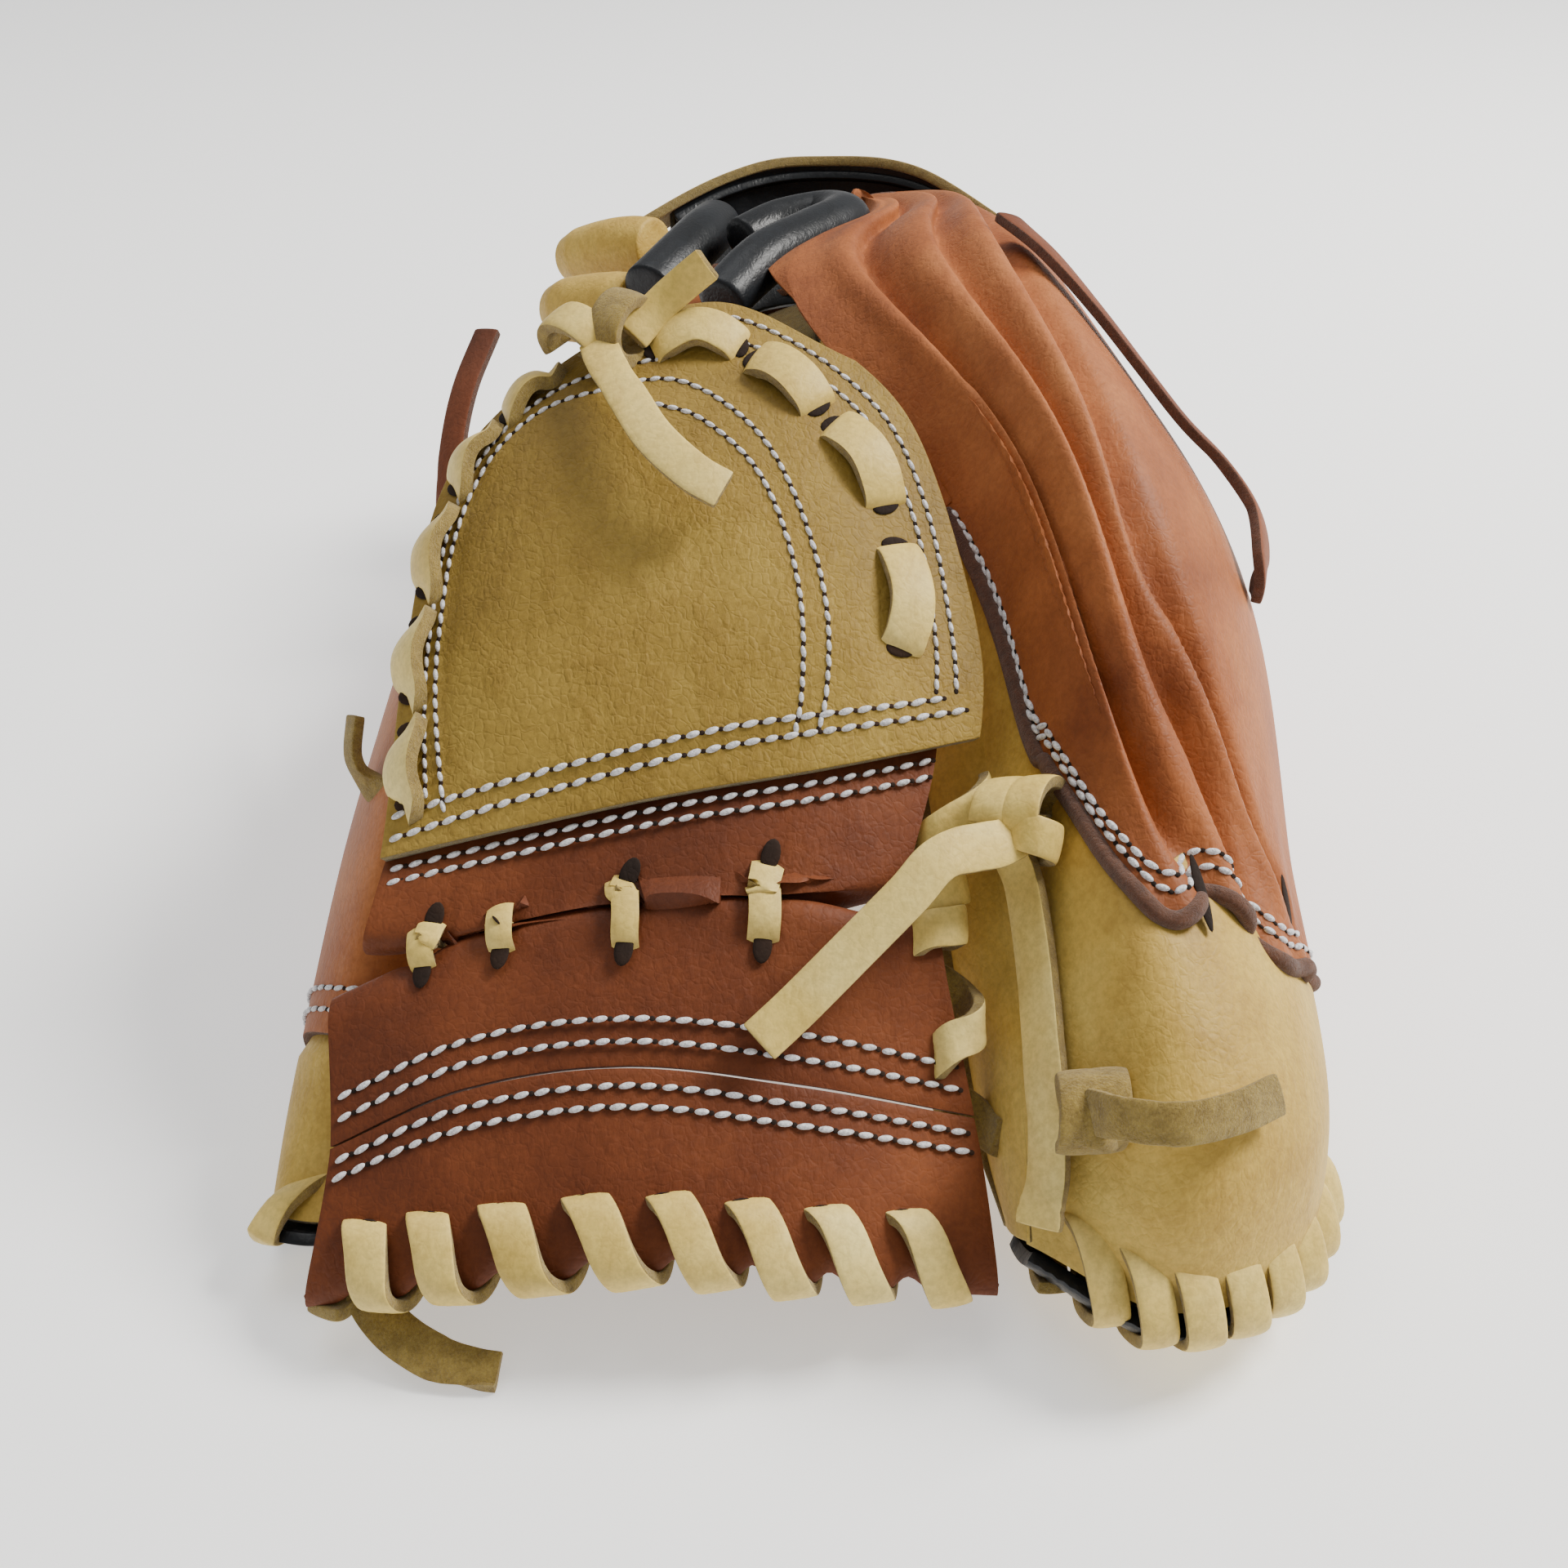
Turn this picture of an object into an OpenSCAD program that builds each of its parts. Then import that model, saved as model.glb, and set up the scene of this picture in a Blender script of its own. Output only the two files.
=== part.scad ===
// Baseball glove, first-base style, for the left hand.
// It lies palm down on a table, fingers toward -Y, thumb on the -X side.
// The leather layers follow two pairs of surfaces: an outer one on the back
// of the hand and an inner one facing the pocket. Every layer is a slab cut
// between them at its own depth, so the layers nest without touching.
// The thumb stall swings about the lacing between thumb and web.

/* [Overall] */
// width across the thumb and little finger
glove_w = 175; // [150:1:215]
// length from finger tips to wrist strap
glove_l = 297; // [250:1:360]
// height of the crown above the table
glove_h = 112; // [95:1:135]

/* [Leather] */
// thickness of the shell leather
leather_t = 2.4; // [1.8:0.1:3.0]
// thickness of the black lining
lining_t = 1.2; // [0.8:0.1:1.6]
// air gap left between two layers
layer_gap = 0.5; // [0.3:0.1:0.7]
// width of the folded edge bindings, as a share of the panel
binding_share = 0.03; // [0.02:0.005:0.04]

/* [Lacing] */
// width of the rawhide lace
lace_w = 6.3; // [5:0.1:7.5]
// thickness of the rawhide lace
lace_t = 2.0; // [1.5:0.1:2.4]
// loops along the tip of the web
web_loops = 8; // [6:1:9]
// loops along the finger tips
tip_loops = 8; // [6:1:9]
// loops round the tip of the thumb
thumb_loops = 1; // [1:1:2]
// distance from a laced edge to its holes
lace_inset = 12; // [9:0.5:14]

/* [Hand] */
// depth of the pleats between the fingers
pleat_d = 5; // [2:0.5:6]
// radius of the padded rolls at the wrist
roll_r = 7.5; // [6:0.5:9]
// radius of the padded rim of the hand opening
rim_r = 4.2; // [3:0.1:5]
// swing of the thumb stall toward the pocket
thumb_swing = 18; // [5:1:20]

/* [Hidden] */
lace_gap = 0.4;
kx = glove_w / 175;
ky = glove_l / 297;
kz = glove_h / 112;
// moves the design drawing so that the box stands on the origin
centre = [-5.5, -2.96, 0];

tan_c = [0.62, 0.31, 0.19];
blond_c = [0.77, 0.67, 0.43];
lace_c = [0.87, 0.78, 0.55];
black_c = [0.13, 0.14, 0.16];
felt_c = [0.80, 0.77, 0.68];

// ---- smooth surfaces through rows of control points ----
function put(p) = [p[0] * kx, p[1] * ky, p[2] * kz] + centre;
function put_net(g) = [for (r = g) [for (p = r) put(p)]];
function mix(a, b, f) = a + (b - a) * f;
function unit(v) = v / max(norm(v), 0.000001);
function bend(a, b, c, d, f) =
    b + 0.5 * f * ((c - a) + f * ((2*a - 5*b + 4*c - d) + f * (3*b - a - 3*c + d)));
function end_pt(p, k) = let (n = len(p) - 1)
    k < 0 ? 2*p[0] - p[1] : k > n ? 2*p[n] - p[n-1] : p[k];
function spline(p, u) =
    let (n = len(p) - 1, x = min(max(u, 0), 1) * n, i = min(floor(x), n - 1))
    bend(end_pt(p, i-1), p[i], p[i+1], end_pt(p, i+2), x - i);
function net(g, s, t) = spline([for (r = g) spline(r, t)], s);
function floor_z(p) = [p[0], p[1], max(p[2], 0)];

// a point between the outer and inner surface, depth = mm + share of the gap
function deep(go, gi, s, t, d) =
    let (a = net(go, s, t), b = net(gi, s, t), h = norm(b - a))
    floor_z(a + (b - a) * (d[0] + d[1] * h) / h);

// finger side, rows from the finger tips to the wrist,
// columns from the index finger edge round to the little finger foot
finger_out = put_net([
    [[36,-133,14], [55,-144,11], [74,-137,10], [84,-120,8], [88,-98,0]],
    [[36,-116,26], [56,-130,38], [76,-122,34], [87,-104,22], [91,-80,0]],
    [[34,-66,52], [52,-83,66], [76,-78,52], [90,-64,30], [94,-46,0]],
    [[29,-26,82], [49,-34,99], [76,-28,80], [92,-18,45], [95,-6,0]],
    [[1,30,104], [42,26,112], [68,26,87], [87,30,50], [93,34,0]],
    [[22,80,103], [42,80,104], [60,80,82], [79,80,45], [86,80,0]],
    [[12,124,91], [31,124,92], [51,124,79], [69,124,43], [75,124,0]]]);
finger_in = put_net([
    [[35,-125,7], [53,-136,4], [70,-129,3], [77,-114,2], [79,-95,0]],
    [[30,-104,15], [48,-110,18], [63,-105,15], [72,-92,8], [79,-76,0]],
    [[23,-60,42], [38,-64,41], [55,-61,33], [66,-54,17], [81,-45,0]],
    [[18,-22,64], [33,-25,64], [54,-22,50], [67,-15,26], [82,-6,0]],
    [[6,30,74], [29,28,74], [52,28,58], [66,30,30], [81,34,0]],
    [[8,80,70], [26,80,68], [44,80,52], [58,80,26], [73,80,0]],
    [[4,124,64], [19,124,62], [35,124,48], [48,124,24], [62,124,0]]]);

// line of the lacing between thumb and web, the thumb swings about it
axis_a = put([-72, -134, 7]);
axis_b = put([-58, -35, 84]);
axis_d = unit(axis_b - axis_a);
// the thumb stall ends on a plane square to that line
cut_at = axis_d * put([-57, -26, 88]);
function on_cut(x, z) = let (q = put([x, 0, z]))
    [q[0], (cut_at - axis_d[0]*q[0] - axis_d[2]*q[2]) / axis_d[1], q[2]];
cut_out = [on_cut(-40, 60), on_cut(-50, 72), on_cut(-61, 74),
    on_cut(-71, 50), on_cut(-78, 0)];
cut_in = [on_cut(-28, 52), on_cut(-33, 48), on_cut(-40, 40),
    on_cut(-50, 22), on_cut(-65, 0)];
cut_s = 0.5;

// thumb side, rows from the thumb tip to the wrist,
// columns from the edge below the web round to the foot
thumb_out = concat(put_net([
    [[-62,-121,6], [-67,-125,8], [-73,-127,9], [-80,-125,8], [-82,-117,0]],
    [[-58,-98,13], [-63,-102,20], [-72,-102,23], [-81,-94,17], [-84,-84,0]],
    [[-50,-62,38], [-56,-66,46], [-66,-66,50], [-78,-50,34], [-83,-30,0]]]),
    [cut_out], put_net([
    [[-18,28,88], [-36,28,84], [-52,34,72], [-67,46,44], [-75,66,0]],
    [[-14,80,80], [-30,80,77], [-43,82,66], [-60,84,42], [-72,92,0]],
    [[-16,124,76], [-29,124,74], [-41,124,64], [-56,124,40], [-67,124,0]]]));
thumb_in = concat(put_net([
    [[-60,-115,4], [-62,-116,4], [-66,-116,3], [-70,-114,2], [-73,-109,0]],
    [[-52,-90,11], [-54,-90,11], [-59,-88,9], [-66,-84,5], [-72,-78,0]],
    [[-40,-54,32], [-43,-53,29], [-48,-50,24], [-57,-42,12], [-70,-27,0]]]),
    [cut_in], put_net([
    [[-10,30,66], [-20,31,62], [-31,34,51], [-44,44,28], [-61,64,0]],
    [[-6,80,64], [-17,80,59], [-28,82,47], [-42,84,26], [-58,90,0]],
    [[-8,124,60], [-16,124,55], [-26,124,44], [-38,124,24], [-53,124,0]]]));

// web, rows from its laced tip edge up to the top of the arch
web_net = put_net([
    [[-71,-136,8], [-48,-137,13], [-19,-137,17], [6,-137,14], [32,-134,8]],
    [[-68,-120,23], [-48,-115,30], [-24,-114,34], [2,-115,31], [29,-114,23]],
    [[-70,-98,35], [-46,-93,43], [-22,-93,47], [3,-93,47], [24,-94,42]],
    [[-66,-93,39], [-44,-91,44], [-22,-90,48], [3,-89,49], [24,-83,48]],
    [[-63,-80,50], [-40,-79,56], [-16,-77,61], [7,-73,63], [31,-65,63]],
    [[-61,-54,69], [-43,-58,73], [-17,-59,76], [7,-56,77], [30,-48,75]],
    [[-56,-28,87], [-39,-30,94], [-15,-33,95], [3,-30,96], [21,-23,95]],
    [[-39,-9,101], [-29,-8,105], [-16,-5,109], [-6,-5,109], [6,-9,105]]]);
function web(u, v, h) =
    let (e = 0.02,
        du = net(web_net, v, min(u+e, 1)) - net(web_net, v, max(u-e, 0)),
        dv = net(web_net, min(v+e, 1), u) - net(web_net, max(v-e, 0), u))
    net(web_net, v, u) + unit(cross(du, dv)) * h;
function web_normal(u, v) = unit(web(u, v, 1) - web(u, v, 0));

// ---- closed solids from grids ----
function count(a, b, n) = [for (i = [0:n]) mix(a, b, i / n)];
module shell(top, bot) {
    ni = len(top) - 1;
    nj = len(top[0]) - 1;
    m = nj + 1;
    q = (ni + 1) * m;
    pts = concat([for (r = top) each r], [for (r = bot) each r]);
    up = [for (i = [0:ni-1], j = [0:nj-1])
        each [[i*m+j, (i+1)*m+j, (i+1)*m+j+1], [i*m+j, (i+1)*m+j+1, i*m+j+1]]];
    down = [for (f = up) [f[2]+q, f[1]+q, f[0]+q]];
    rim = concat([for (i = [0:ni]) i*m], [for (j = [1:nj]) ni*m+j],
        [for (i = [1:ni]) (ni-i)*m+nj], nj > 1 ? [for (j = [1:nj-1]) nj-j] : []);
    k = len(rim);
    side = [for (i = [0:k-1]) let (a = rim[i], b = rim[(i+1) % k])
        each [[a, a+q, b+q], [a, b+q, b]]];
    all_f = concat(up, down, side);
    volume = [for (f = all_f) pts[f[0]] * cross(pts[f[1]], pts[f[2]])]
        * [for (f = all_f) 1];
    polyhedron(pts, volume < 0 ? all_f : [for (f = all_f) [f[2], f[1], f[0]]]);
}
// a layer between two depths over a grid of surface places
module layer(go, gi, grid, d0, d1) {
    shell([for (r = grid) [for (p = r) deep(go, gi, p[0], p[1], d0)]],
        [for (r = grid) [for (p = r) deep(go, gi, p[0], p[1], d1)]]);
}
function patch(s0, s1, ns, t0, t1, nt) =
    [for (s = count(s0, s1, ns)) [for (t = count(t0, t1, nt)) [s, t]]];
// a web panel between two heights
module web_layer(grid, h0, h1) {
    shell([for (r = grid) [for (p = r) web(p[0], p[1], h0)]],
        [for (r = grid) [for (p = r) web(p[0], p[1], h1)]]);
}
// flat lace along a path, ups give the side it lies on, kept off the table
function ahead(p, i) = unit(p[min(i+1, len(p)-1)] - p[max(i-1, 0)]);
module lace(route, ups) {
    path = [for (p = route) [p[0], p[1], max(p[2], lace_t/2 + 0.3)]];
    side = [for (i = [0:len(path)-1]) unit(cross(ahead(path, i), ups[i]))];
    nrm = [for (i = [0:len(path)-1]) unit(cross(side[i], ahead(path, i)))];
    function corner(i, a, b) = floor_z(path[i] + side[i]*a*lace_w/2 + nrm[i]*b*lace_t/2);
    shell([for (i = [0:len(path)-1]) [corner(i, 1, 1), corner(i, -1, 1)]],
        [for (i = [0:len(path)-1]) [corner(i, 1, -1), corner(i, -1, -1)]]);
}
// an end of lace that hangs free, all of it facing one way
module loose_lace(ctrl, up) {
    n = 3 * (len(ctrl) - 1);
    lace([for (u = count(0, 1, n)) spline(ctrl, u)], [for (u = count(0, 1, n)) up]);
}
// round padded roll along a path, rounded at both ends
module roll(ctrl, r, n, sides) {
    path = [for (u = count(0, 1, n)) spline(ctrl, u)];
    fat = [for (i = [0:n]) r * (i == 0 || i == n ? 0.55 : 1)];
    a = [for (i = [0:n]) unit(cross(ahead(path, i), [0.1, 0.2, 1]))];
    b = [for (i = [0:n]) cross(ahead(path, i), a[i])];
    pts = [for (i = [0:n], k = [0:sides-1]) path[i] + fat[i] *
        (a[i] * cos(360*k/sides) + b[i] * sin(360*k/sides))];
    wall = [for (i = [0:n-1], k = [0:sides-1])
        let (p = i*sides + k, q = i*sides + (k+1) % sides)
        each [[p, q, q+sides], [p, q+sides, p+sides]]];
    ends = [[for (k = [0:sides-1]) sides-1-k], [for (k = [0:sides-1]) n*sides+k]];
    polyhedron(pts, [for (f = concat(wall, ends)) [for (k = [len(f)-1:-1:0]) f[k]]]);
}
// one lace wound round an edge in an oval helix
module whip(edge, inward, up, n, reach, half) {
    steps = 9;
    total = n * steps;
    path = [for (i = [0:total]) let (a = 360*i/steps)
        edge[i] + inward[i] * (reach/2 - cos(a) * (reach/2 + lace_t/2 + lace_gap))
        - up[i] * sin(a) * half[i]];
    ups = [for (i = [0:total]) let (a = 360*i/steps)
        inward[i] * -cos(a) - up[i] * sin(a)];
    lace(path, ups);
}

// ---- finger side ----
back_d = [[0, 0], [leather_t, 0]];
palm_d = [[-leather_t, 1], [0, 1]];
line_top = leather_t + layer_gap + pleat_d * 0.2;
between_d = [[leather_t + layer_gap + 0.5, 0], [-leather_t - layer_gap - 0.3, 1]];
pad_d = [[1, 0.68], [-leather_t - layer_gap - 1.3, 1]];

// where the red panel is sewn over the blond one
seam_row = [0.50, 0.355, 0.30, 0.27, 0.285, 0.262, 0.25, 0.25, 0.25, 0.26, 0.27];
function seam_s(t) = spline(seam_row, t);
// the three pleats, as places across the panel from the seam to the wrist
pleat_1 = [0.36, 0.19, 0.11, 0.07, 0.05, 0.05];
pleat_2 = [0.45, 0.30, 0.20, 0.17, 0.15, 0.14];
pleat_3 = [0.64, 0.36, 0.28, 0.25, 0.23, 0.21];
function pleats(f) = [spline(pleat_1, f), spline(pleat_2, f), spline(pleat_3, f)];
function ridge_cols(f) = let (p = pleats(f), e = 0.022)
    [0, p[0]*0.5, p[0]-e, p[0], p[0]+e, (p[0]+p[1])/2, p[1]-e, p[1], p[1]+e,
    (p[1]+p[2])/2, p[2]-e, p[2], p[2]+e, mix(p[2], 1, 0.2), mix(p[2], 1, 0.4),
    mix(p[2], 1, 0.6), mix(p[2], 1, 0.8), 1 - binding_share - 0.01];
valley = [0, 0, 0.15, 1, 0.15, 0, 0.15, 1, 0.15, 0, 0.15, 1, 0.15, 0, 0, 0, 0, 0];
module finger_back() {
    rows = 13;
    grid = [for (f = count(0, 1, rows)) [for (t = ridge_cols(f))
        [mix(seam_s(t) + 0.004, 0.975, f), t]]];
    fade = [for (f = count(0, 1, rows)) pleat_d * (1 - 0.75 * f)];
    top = [for (i = [0:rows]) [for (j = [0:len(valley)-1])
        deep(finger_out, finger_in, grid[i][j][0], grid[i][j][1],
            [valley[j] * fade[i], 0])]];
    low = [for (i = [0:rows]) [for (j = [0:len(valley)-1])
        deep(finger_out, finger_in, grid[i][j][0], grid[i][j][1],
            [leather_t + valley[j] * fade[i], 0])]];
    color(tan_c) shell(top, low);
}
tip_s = 0.03;
module fingertip_panel() {
    grid = [for (f = count(1, 0, 7)) [for (t = count(0, 1 - binding_share - 0.01, 15))
        [mix(tip_s, seam_s(t) - 0.004, f), t]]];
    color(blond_c) layer(finger_out, finger_in, grid, back_d[0], back_d[1]);
}
module index_side_panel() {
    color(blond_c) layer(finger_out, finger_in, patch(tip_s, 0.6, 14, 0.003, 0.035, 1),
        between_d[0], between_d[1]);
}
module palm_shell() {
    color(blond_c) {
        layer(finger_out, finger_in,
            patch(tip_s, 0.975, 13, 0, 1 - binding_share - 0.01, 8),
            palm_d[0], palm_d[1]);
        palm_bridge();
    }
}
// the palm runs on under the hand to the thumb side
module palm_bridge() {
    cols = 4;
    foot = 1 - binding_share - 0.01;
    rows = count(0.51, 0.975, 7);
    function across(s, d) = concat(
        [for (c = [0:cols-1]) mix(deep(finger_out, finger_in, s, 0, d),
            deep(thumb_out, thumb_in, s, 0, d), c / cols)],
        [for (t = count(0, foot, 6)) deep(thumb_out, thumb_in, s, t, d)]);
    shell([for (s = rows) across(s, palm_d[0])], [for (s = rows) across(s, palm_d[1])]);
}
module finger_lining() {
    d0 = line_top + pleat_d;
    color(black_c) layer(finger_out, finger_in, patch(0.33, 0.965, 10, 0.045, 0.9, 12),
        [d0, 0], [d0 + lining_t, 0]);
}
module palm_pad() {
    color(felt_c) layer(finger_out, finger_in, patch(0.15, 0.95, 9, 0.05, 0.86, 6),
        pad_d[0], pad_d[1]);
}
module finger_stalls() {
    d0 = line_top + pleat_d + lining_t + layer_gap + 1;
    color(black_c) for (k = [0:2]) {
        grid = [for (f = count(0.12, 0.5, 5)) let (p = pleats(f)[k],
                s = mix(0.28, 0.975, f)) [for (e = [0, 0.02]) [s, p + e]]];
        layer(finger_out, finger_in, grid, [d0, 0], [pad_d[0][0] - layer_gap, pad_d[0][1]]);
    }
}
module fingertip_binding() {
    color(black_c) layer(finger_out, finger_in,
        patch(0.003, tip_s - 0.004, 1, 0, 1 - binding_share - 0.01, 14), [0.6, 0], [-0.6, 1]);
}
module pinky_edge_binding() {
    color(tan_c) layer(finger_out, finger_in,
        patch(0.003, 0.975, 14, 1 - binding_share, 1, 1), [0, 0], [0, 1]);
}
module heel_binding() {
    edge_d = [-leather_t - 6, 1];
    function rib(s, top) = concat(
        [for (t = count(1, 0, 8)) deep(finger_out, finger_in, s, t, [0, top])],
        [for (c = [0.2, 0.5, 0.8]) mix(
            deep(finger_out, finger_in, s, 0, top == 0 ? edge_d : [0, 1]),
            deep(thumb_out, thumb_in, s, 0, top == 0 ? edge_d : [0, 1]), c)],
        [for (t = count(0, 1, 8)) deep(thumb_out, thumb_in, s, t, [0, top])]);
    color(tan_c) shell([for (s = [0.98, 1]) rib(s, 0)], [for (s = [0.98, 1]) rib(s, 1)]);
}

// ---- lacing on the finger side ----
function on_back(s, t, h) = deep(finger_out, finger_in, s, t, [-h, 0]);
function back_up(s, t) = unit(on_back(s, t, 1) - on_back(s, t, 0));
module fingertip_lace() {
    steps = tip_loops * 9;
    ts = [for (i = [0:steps]) mix(0.07, 0.74, i / steps)];
    mid = [for (t = ts) deep(finger_out, finger_in, 0.003, t, [0, 0.5])];
    far = [for (t = ts) deep(finger_out, finger_in, 0.16, t, [0, 0.5])];
    up = [for (t = ts) unit(deep(finger_out, finger_in, 0.003, t, [0, 0])
        - deep(finger_out, finger_in, 0.003, t, [0, 1]))];
    half = [for (t = ts) norm(deep(finger_out, finger_in, 0.03, t, [0, 0])
        - deep(finger_out, finger_in, 0.03, t, [0, 1])) / 2 + lace_t/2 + lace_gap];
    color(lace_c) whip(mid, [for (i = [0:steps]) unit(far[i] - mid[i])], up,
        tip_loops, lace_inset, half);
}
module back_lace(places, h) {
    n = len(places) - 1;
    at = [for (u = count(0, 1, n * 4)) spline([for (p = places) [p[0], p[1]]], u)];
    lift = [for (u = count(0, 1, n * 4)) spline([for (p = places) p[2]], u)];
    lace([for (i = [0:n*4]) on_back(at[i][0], at[i][1], h + lift[i])],
        [for (a = at) back_up(a[0], a[1])]);
}
lie_h = lace_t/2 + lace_gap;
knot_r = 3.8;
module index_lace() {
    color(lace_c) back_lace([[0.085, 0.05, 4], [0.12, 0.055, 2.2], [0.17, 0.06, 2],
        [0.24, 0.07, 2], [0.295, 0.08, 2.2], [0.31, 0.06, 5]], lie_h);
}
module pinky_loop_lace() {
    color(tan_c) back_lace([[0.90, 0.42, 1.8], [0.86, 0.50, 1.4], [0.78, 0.58, 1.4],
        [0.71, 0.64, 1.5], [0.66, 0.72, 4], [0.64, 0.80, 0.5]], lie_h);
}

// a knot in the index lace, its tail crosses to the web
knot_out = unit([-0.35, -0.65, 0.68]);
function off_finger(s, t, h) = on_back(s, t, 0) + knot_out * h;
module index_knot() {
    knot = [off_finger(0.325, 0.035, 9), off_finger(0.305, 0.07, 10.5),
        off_finger(0.32, 0.11, 9)];
    tail = [off_finger(0.30, 0.06, 16), web(0.97, 0.35, 17), web(0.84, 0.265, 11),
        web(0.71, 0.185, 7)];
    color(lace_c) {
        roll(knot, knot_r, 4, 6);
        loose_lace(tail, [0, -0.6, 0.8]);
    }
}
// the fingertip lace ends in a second knot on the back of the finger
module tip_knot() {
    knot = [on_back(0.20, 0.115, lie_h + 4.6), on_back(0.18, 0.135, lie_h + 6.6),
        on_back(0.155, 0.13, lie_h + 4.6)];
    tail = [on_back(0.18, 0.16, lie_h + 11), on_back(0.175, 0.22, lie_h + 9),
        on_back(0.18, 0.30, lie_h + 4), on_back(0.185, 0.39, lie_h + 3)];
    color(lace_c) {
        roll(knot, knot_r, 4, 6);
        loose_lace(tail, [0, -0.6, 0.8]);
    }
}

// ---- wrist ----
strap_front = put_net([[[-36,112,90], [-14,128,97], [8,135,99], [34,128,98], [57,113,88]]])[0];
strap_back = put_net([[[-38,130,80], [-16,145,88], [8,151,90], [36,147,88], [61,132,76]]])[0];
function strap_at(u, v, h) = mix(spline(strap_front, u), spline(strap_back, u), v)
    - [0, 0.3, 1] * h;
function strap_grid(u0, u1, n, v0, v1, h) =
    [for (u = count(u0, u1, n)) [for (v = count(v0, v1, 2)) strap_at(u, v, h)]];
module wrist_strap() {
    color(blond_c) shell(strap_grid(0, 1, 14, 0, 1, 0), strap_grid(0, 1, 14, 0, 1, leather_t));
}
module strap_lining() {
    h = leather_t + layer_gap;
    color(black_c) shell(strap_grid(0.2, 0.66, 8, 0.04, 0.96, h),
        strap_grid(0.2, 0.66, 8, 0.04, 0.96, h + lining_t + 0.8));
}
module opening_rim() {
    color(black_c) roll([for (p = [[-13,34,98], [-4,48,102], [6,63,102], [13,76,101],
        [9,86,99], [-1,84,98], [-10,76,97]]) put(p)], rim_r, 16, 8);
}
module opening_bar() {
    color(black_c) roll([for (p = [[-16,104,92], [-19,90,93], [-24,76,92], [-30,64,90]])
        put(p)], rim_r + 0.6, 8, 8);
}
module strap_roll() {
    color(blond_c) roll([for (p = [[-50,126,78], [-47,114,81], [-42,103,83]]) put(p)],
        roll_r, 7, 10);
}
module heel_roll() {
    color(blond_c) roll([for (p = [[-44,92,80], [-46,80,81], [-49,66,80]]) put(p)],
        roll_r, 7, 10);
}

// ---- web ----
web_mid = [-leather_t/2, leather_t/2];
function web_patch(u0, u1, nu, v0, v1, nv) =
    [for (v = count(v0, v1, nv)) [for (u = count(u0, u1, nu)) [u, v]]];
// the arch panels are trimmed round at the top
function arch_v(u) = 1 - 0.05 * pow(abs(2*u - 1), 3);
function arch_patch(v0, trim) = [for (f = count(0, 1, 9))
    [for (u = count(trim, 1 - trim, 12)) [u, mix(v0, arch_v(u) - trim, f)]]];
outer_h = leather_t/2 + layer_gap + leather_t;
module web_panel_outer() {
    color(blond_c) web_layer(arch_patch(0.562, 0), outer_h, leather_t/2 + layer_gap);
}
module web_panel_inner() {
    color(tan_c) web_layer(arch_patch(0.585, 0.015), leather_t/2, -leather_t/2);
}
module web_bar_lower() {
    vs = [0.405, 0.42, 0.45, 0.49, 0.53, 0.555, 0.58];
    ht = [0.6, 2.2, 3.4, 3.2, 2.0, 0.2, -leather_t/2 - layer_gap];
    hb = [-0.8, -2.4, -3.4, -3.6, -3.8, -3.8, -leather_t/2 - layer_gap - leather_t];
    us = count(0.005, 0.93, 12);
    color(tan_c) shell([for (i = [0:6]) [for (u = us) web(u, vs[i], ht[i])]],
        [for (i = [0:6]) [for (u = us) web(u, vs[i], hb[i])]]);
}
module web_bar_upper() {
    vs = [0.158, 0.20, 0.24, 0.27, 0.285];
    ht = [1.2, 1.4, 2.2, 2.4, 0.8];
    hb = [-1.2, -1.4, -2.2, -2.6, -0.8];
    us = count(0, 1, 12);
    color(tan_c) shell([for (i = [0:4]) [for (u = us) web(u, vs[i], ht[i])]],
        [for (i = [0:4]) [for (u = us) web(u, vs[i], hb[i])]]);
}
module web_tip_strip() {
    color(tan_c) web_layer(web_patch(0, 1, 12, 0, 0.148, 4), web_mid[1], web_mid[0]);
}
module web_lace(places) {
    n = len(places) - 1;
    at = [for (u = count(0, 1, n * 2)) spline(places, u)];
    lace([for (a = at) web(a[0], a[1], a[2])], [for (a = at) web_normal(a[0], a[1])]);
}
over_h = outer_h + lie_h;
under_h = -leather_t/2 - lie_h;
// four crossings of one lace tie the two bars together
module web_cross_lace() {
    bars_v = [0.51, 0.455, 0.39, 0.33, 0.27, 0.225];
    rise = [-1, 3.4 + lie_h, 2.6, 2.0, 2.2 + lie_h, -1];
    color(lace_c) for (u = [0.14, 0.275, 0.475, 0.685]) {
        at = [for (i = [0:5]) web(u - 0.015 + i * 0.006, bars_v[i], rise[i])];
        lace(at, [for (i = [0:5]) web_normal(u, bars_v[i])]);
    }
}
// lace woven round the arch of the outer panel, over it from slot to slot
arch_run = [[0.045, 0.60], [0.040, 0.655], [0.036, 0.68], [0.036, 0.735],
    [0.040, 0.76], [0.050, 0.815], [0.06, 0.84], [0.085, 0.885], [0.10, 0.905],
    [0.15, 0.945], [0.40, 0.957], [0.65, 0.95], [0.685, 0.935], [0.795, 0.88],
    [0.815, 0.862], [0.875, 0.795], [0.877, 0.765], [0.857, 0.675]];
module web_arch_lace() {
    n = len(arch_run) / 2;
    color(lace_c) for (k = [0:n-1]) {
        a = arch_run[2*k];
        b = arch_run[2*k+1];
        rise = [0.4, over_h, over_h + 0.8, over_h + 0.8, over_h, 0.4];
        along = [0, 0.12, 0.35, 0.65, 0.88, 1];
        at = [for (i = [0:5]) let (q = mix(a, b, along[i])) web(q[0], q[1], rise[i])];
        lace(at, [for (i = [0:5]) let (q = mix(a, b, along[i])) web_normal(q[0], q[1])]);
    }
}
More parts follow.
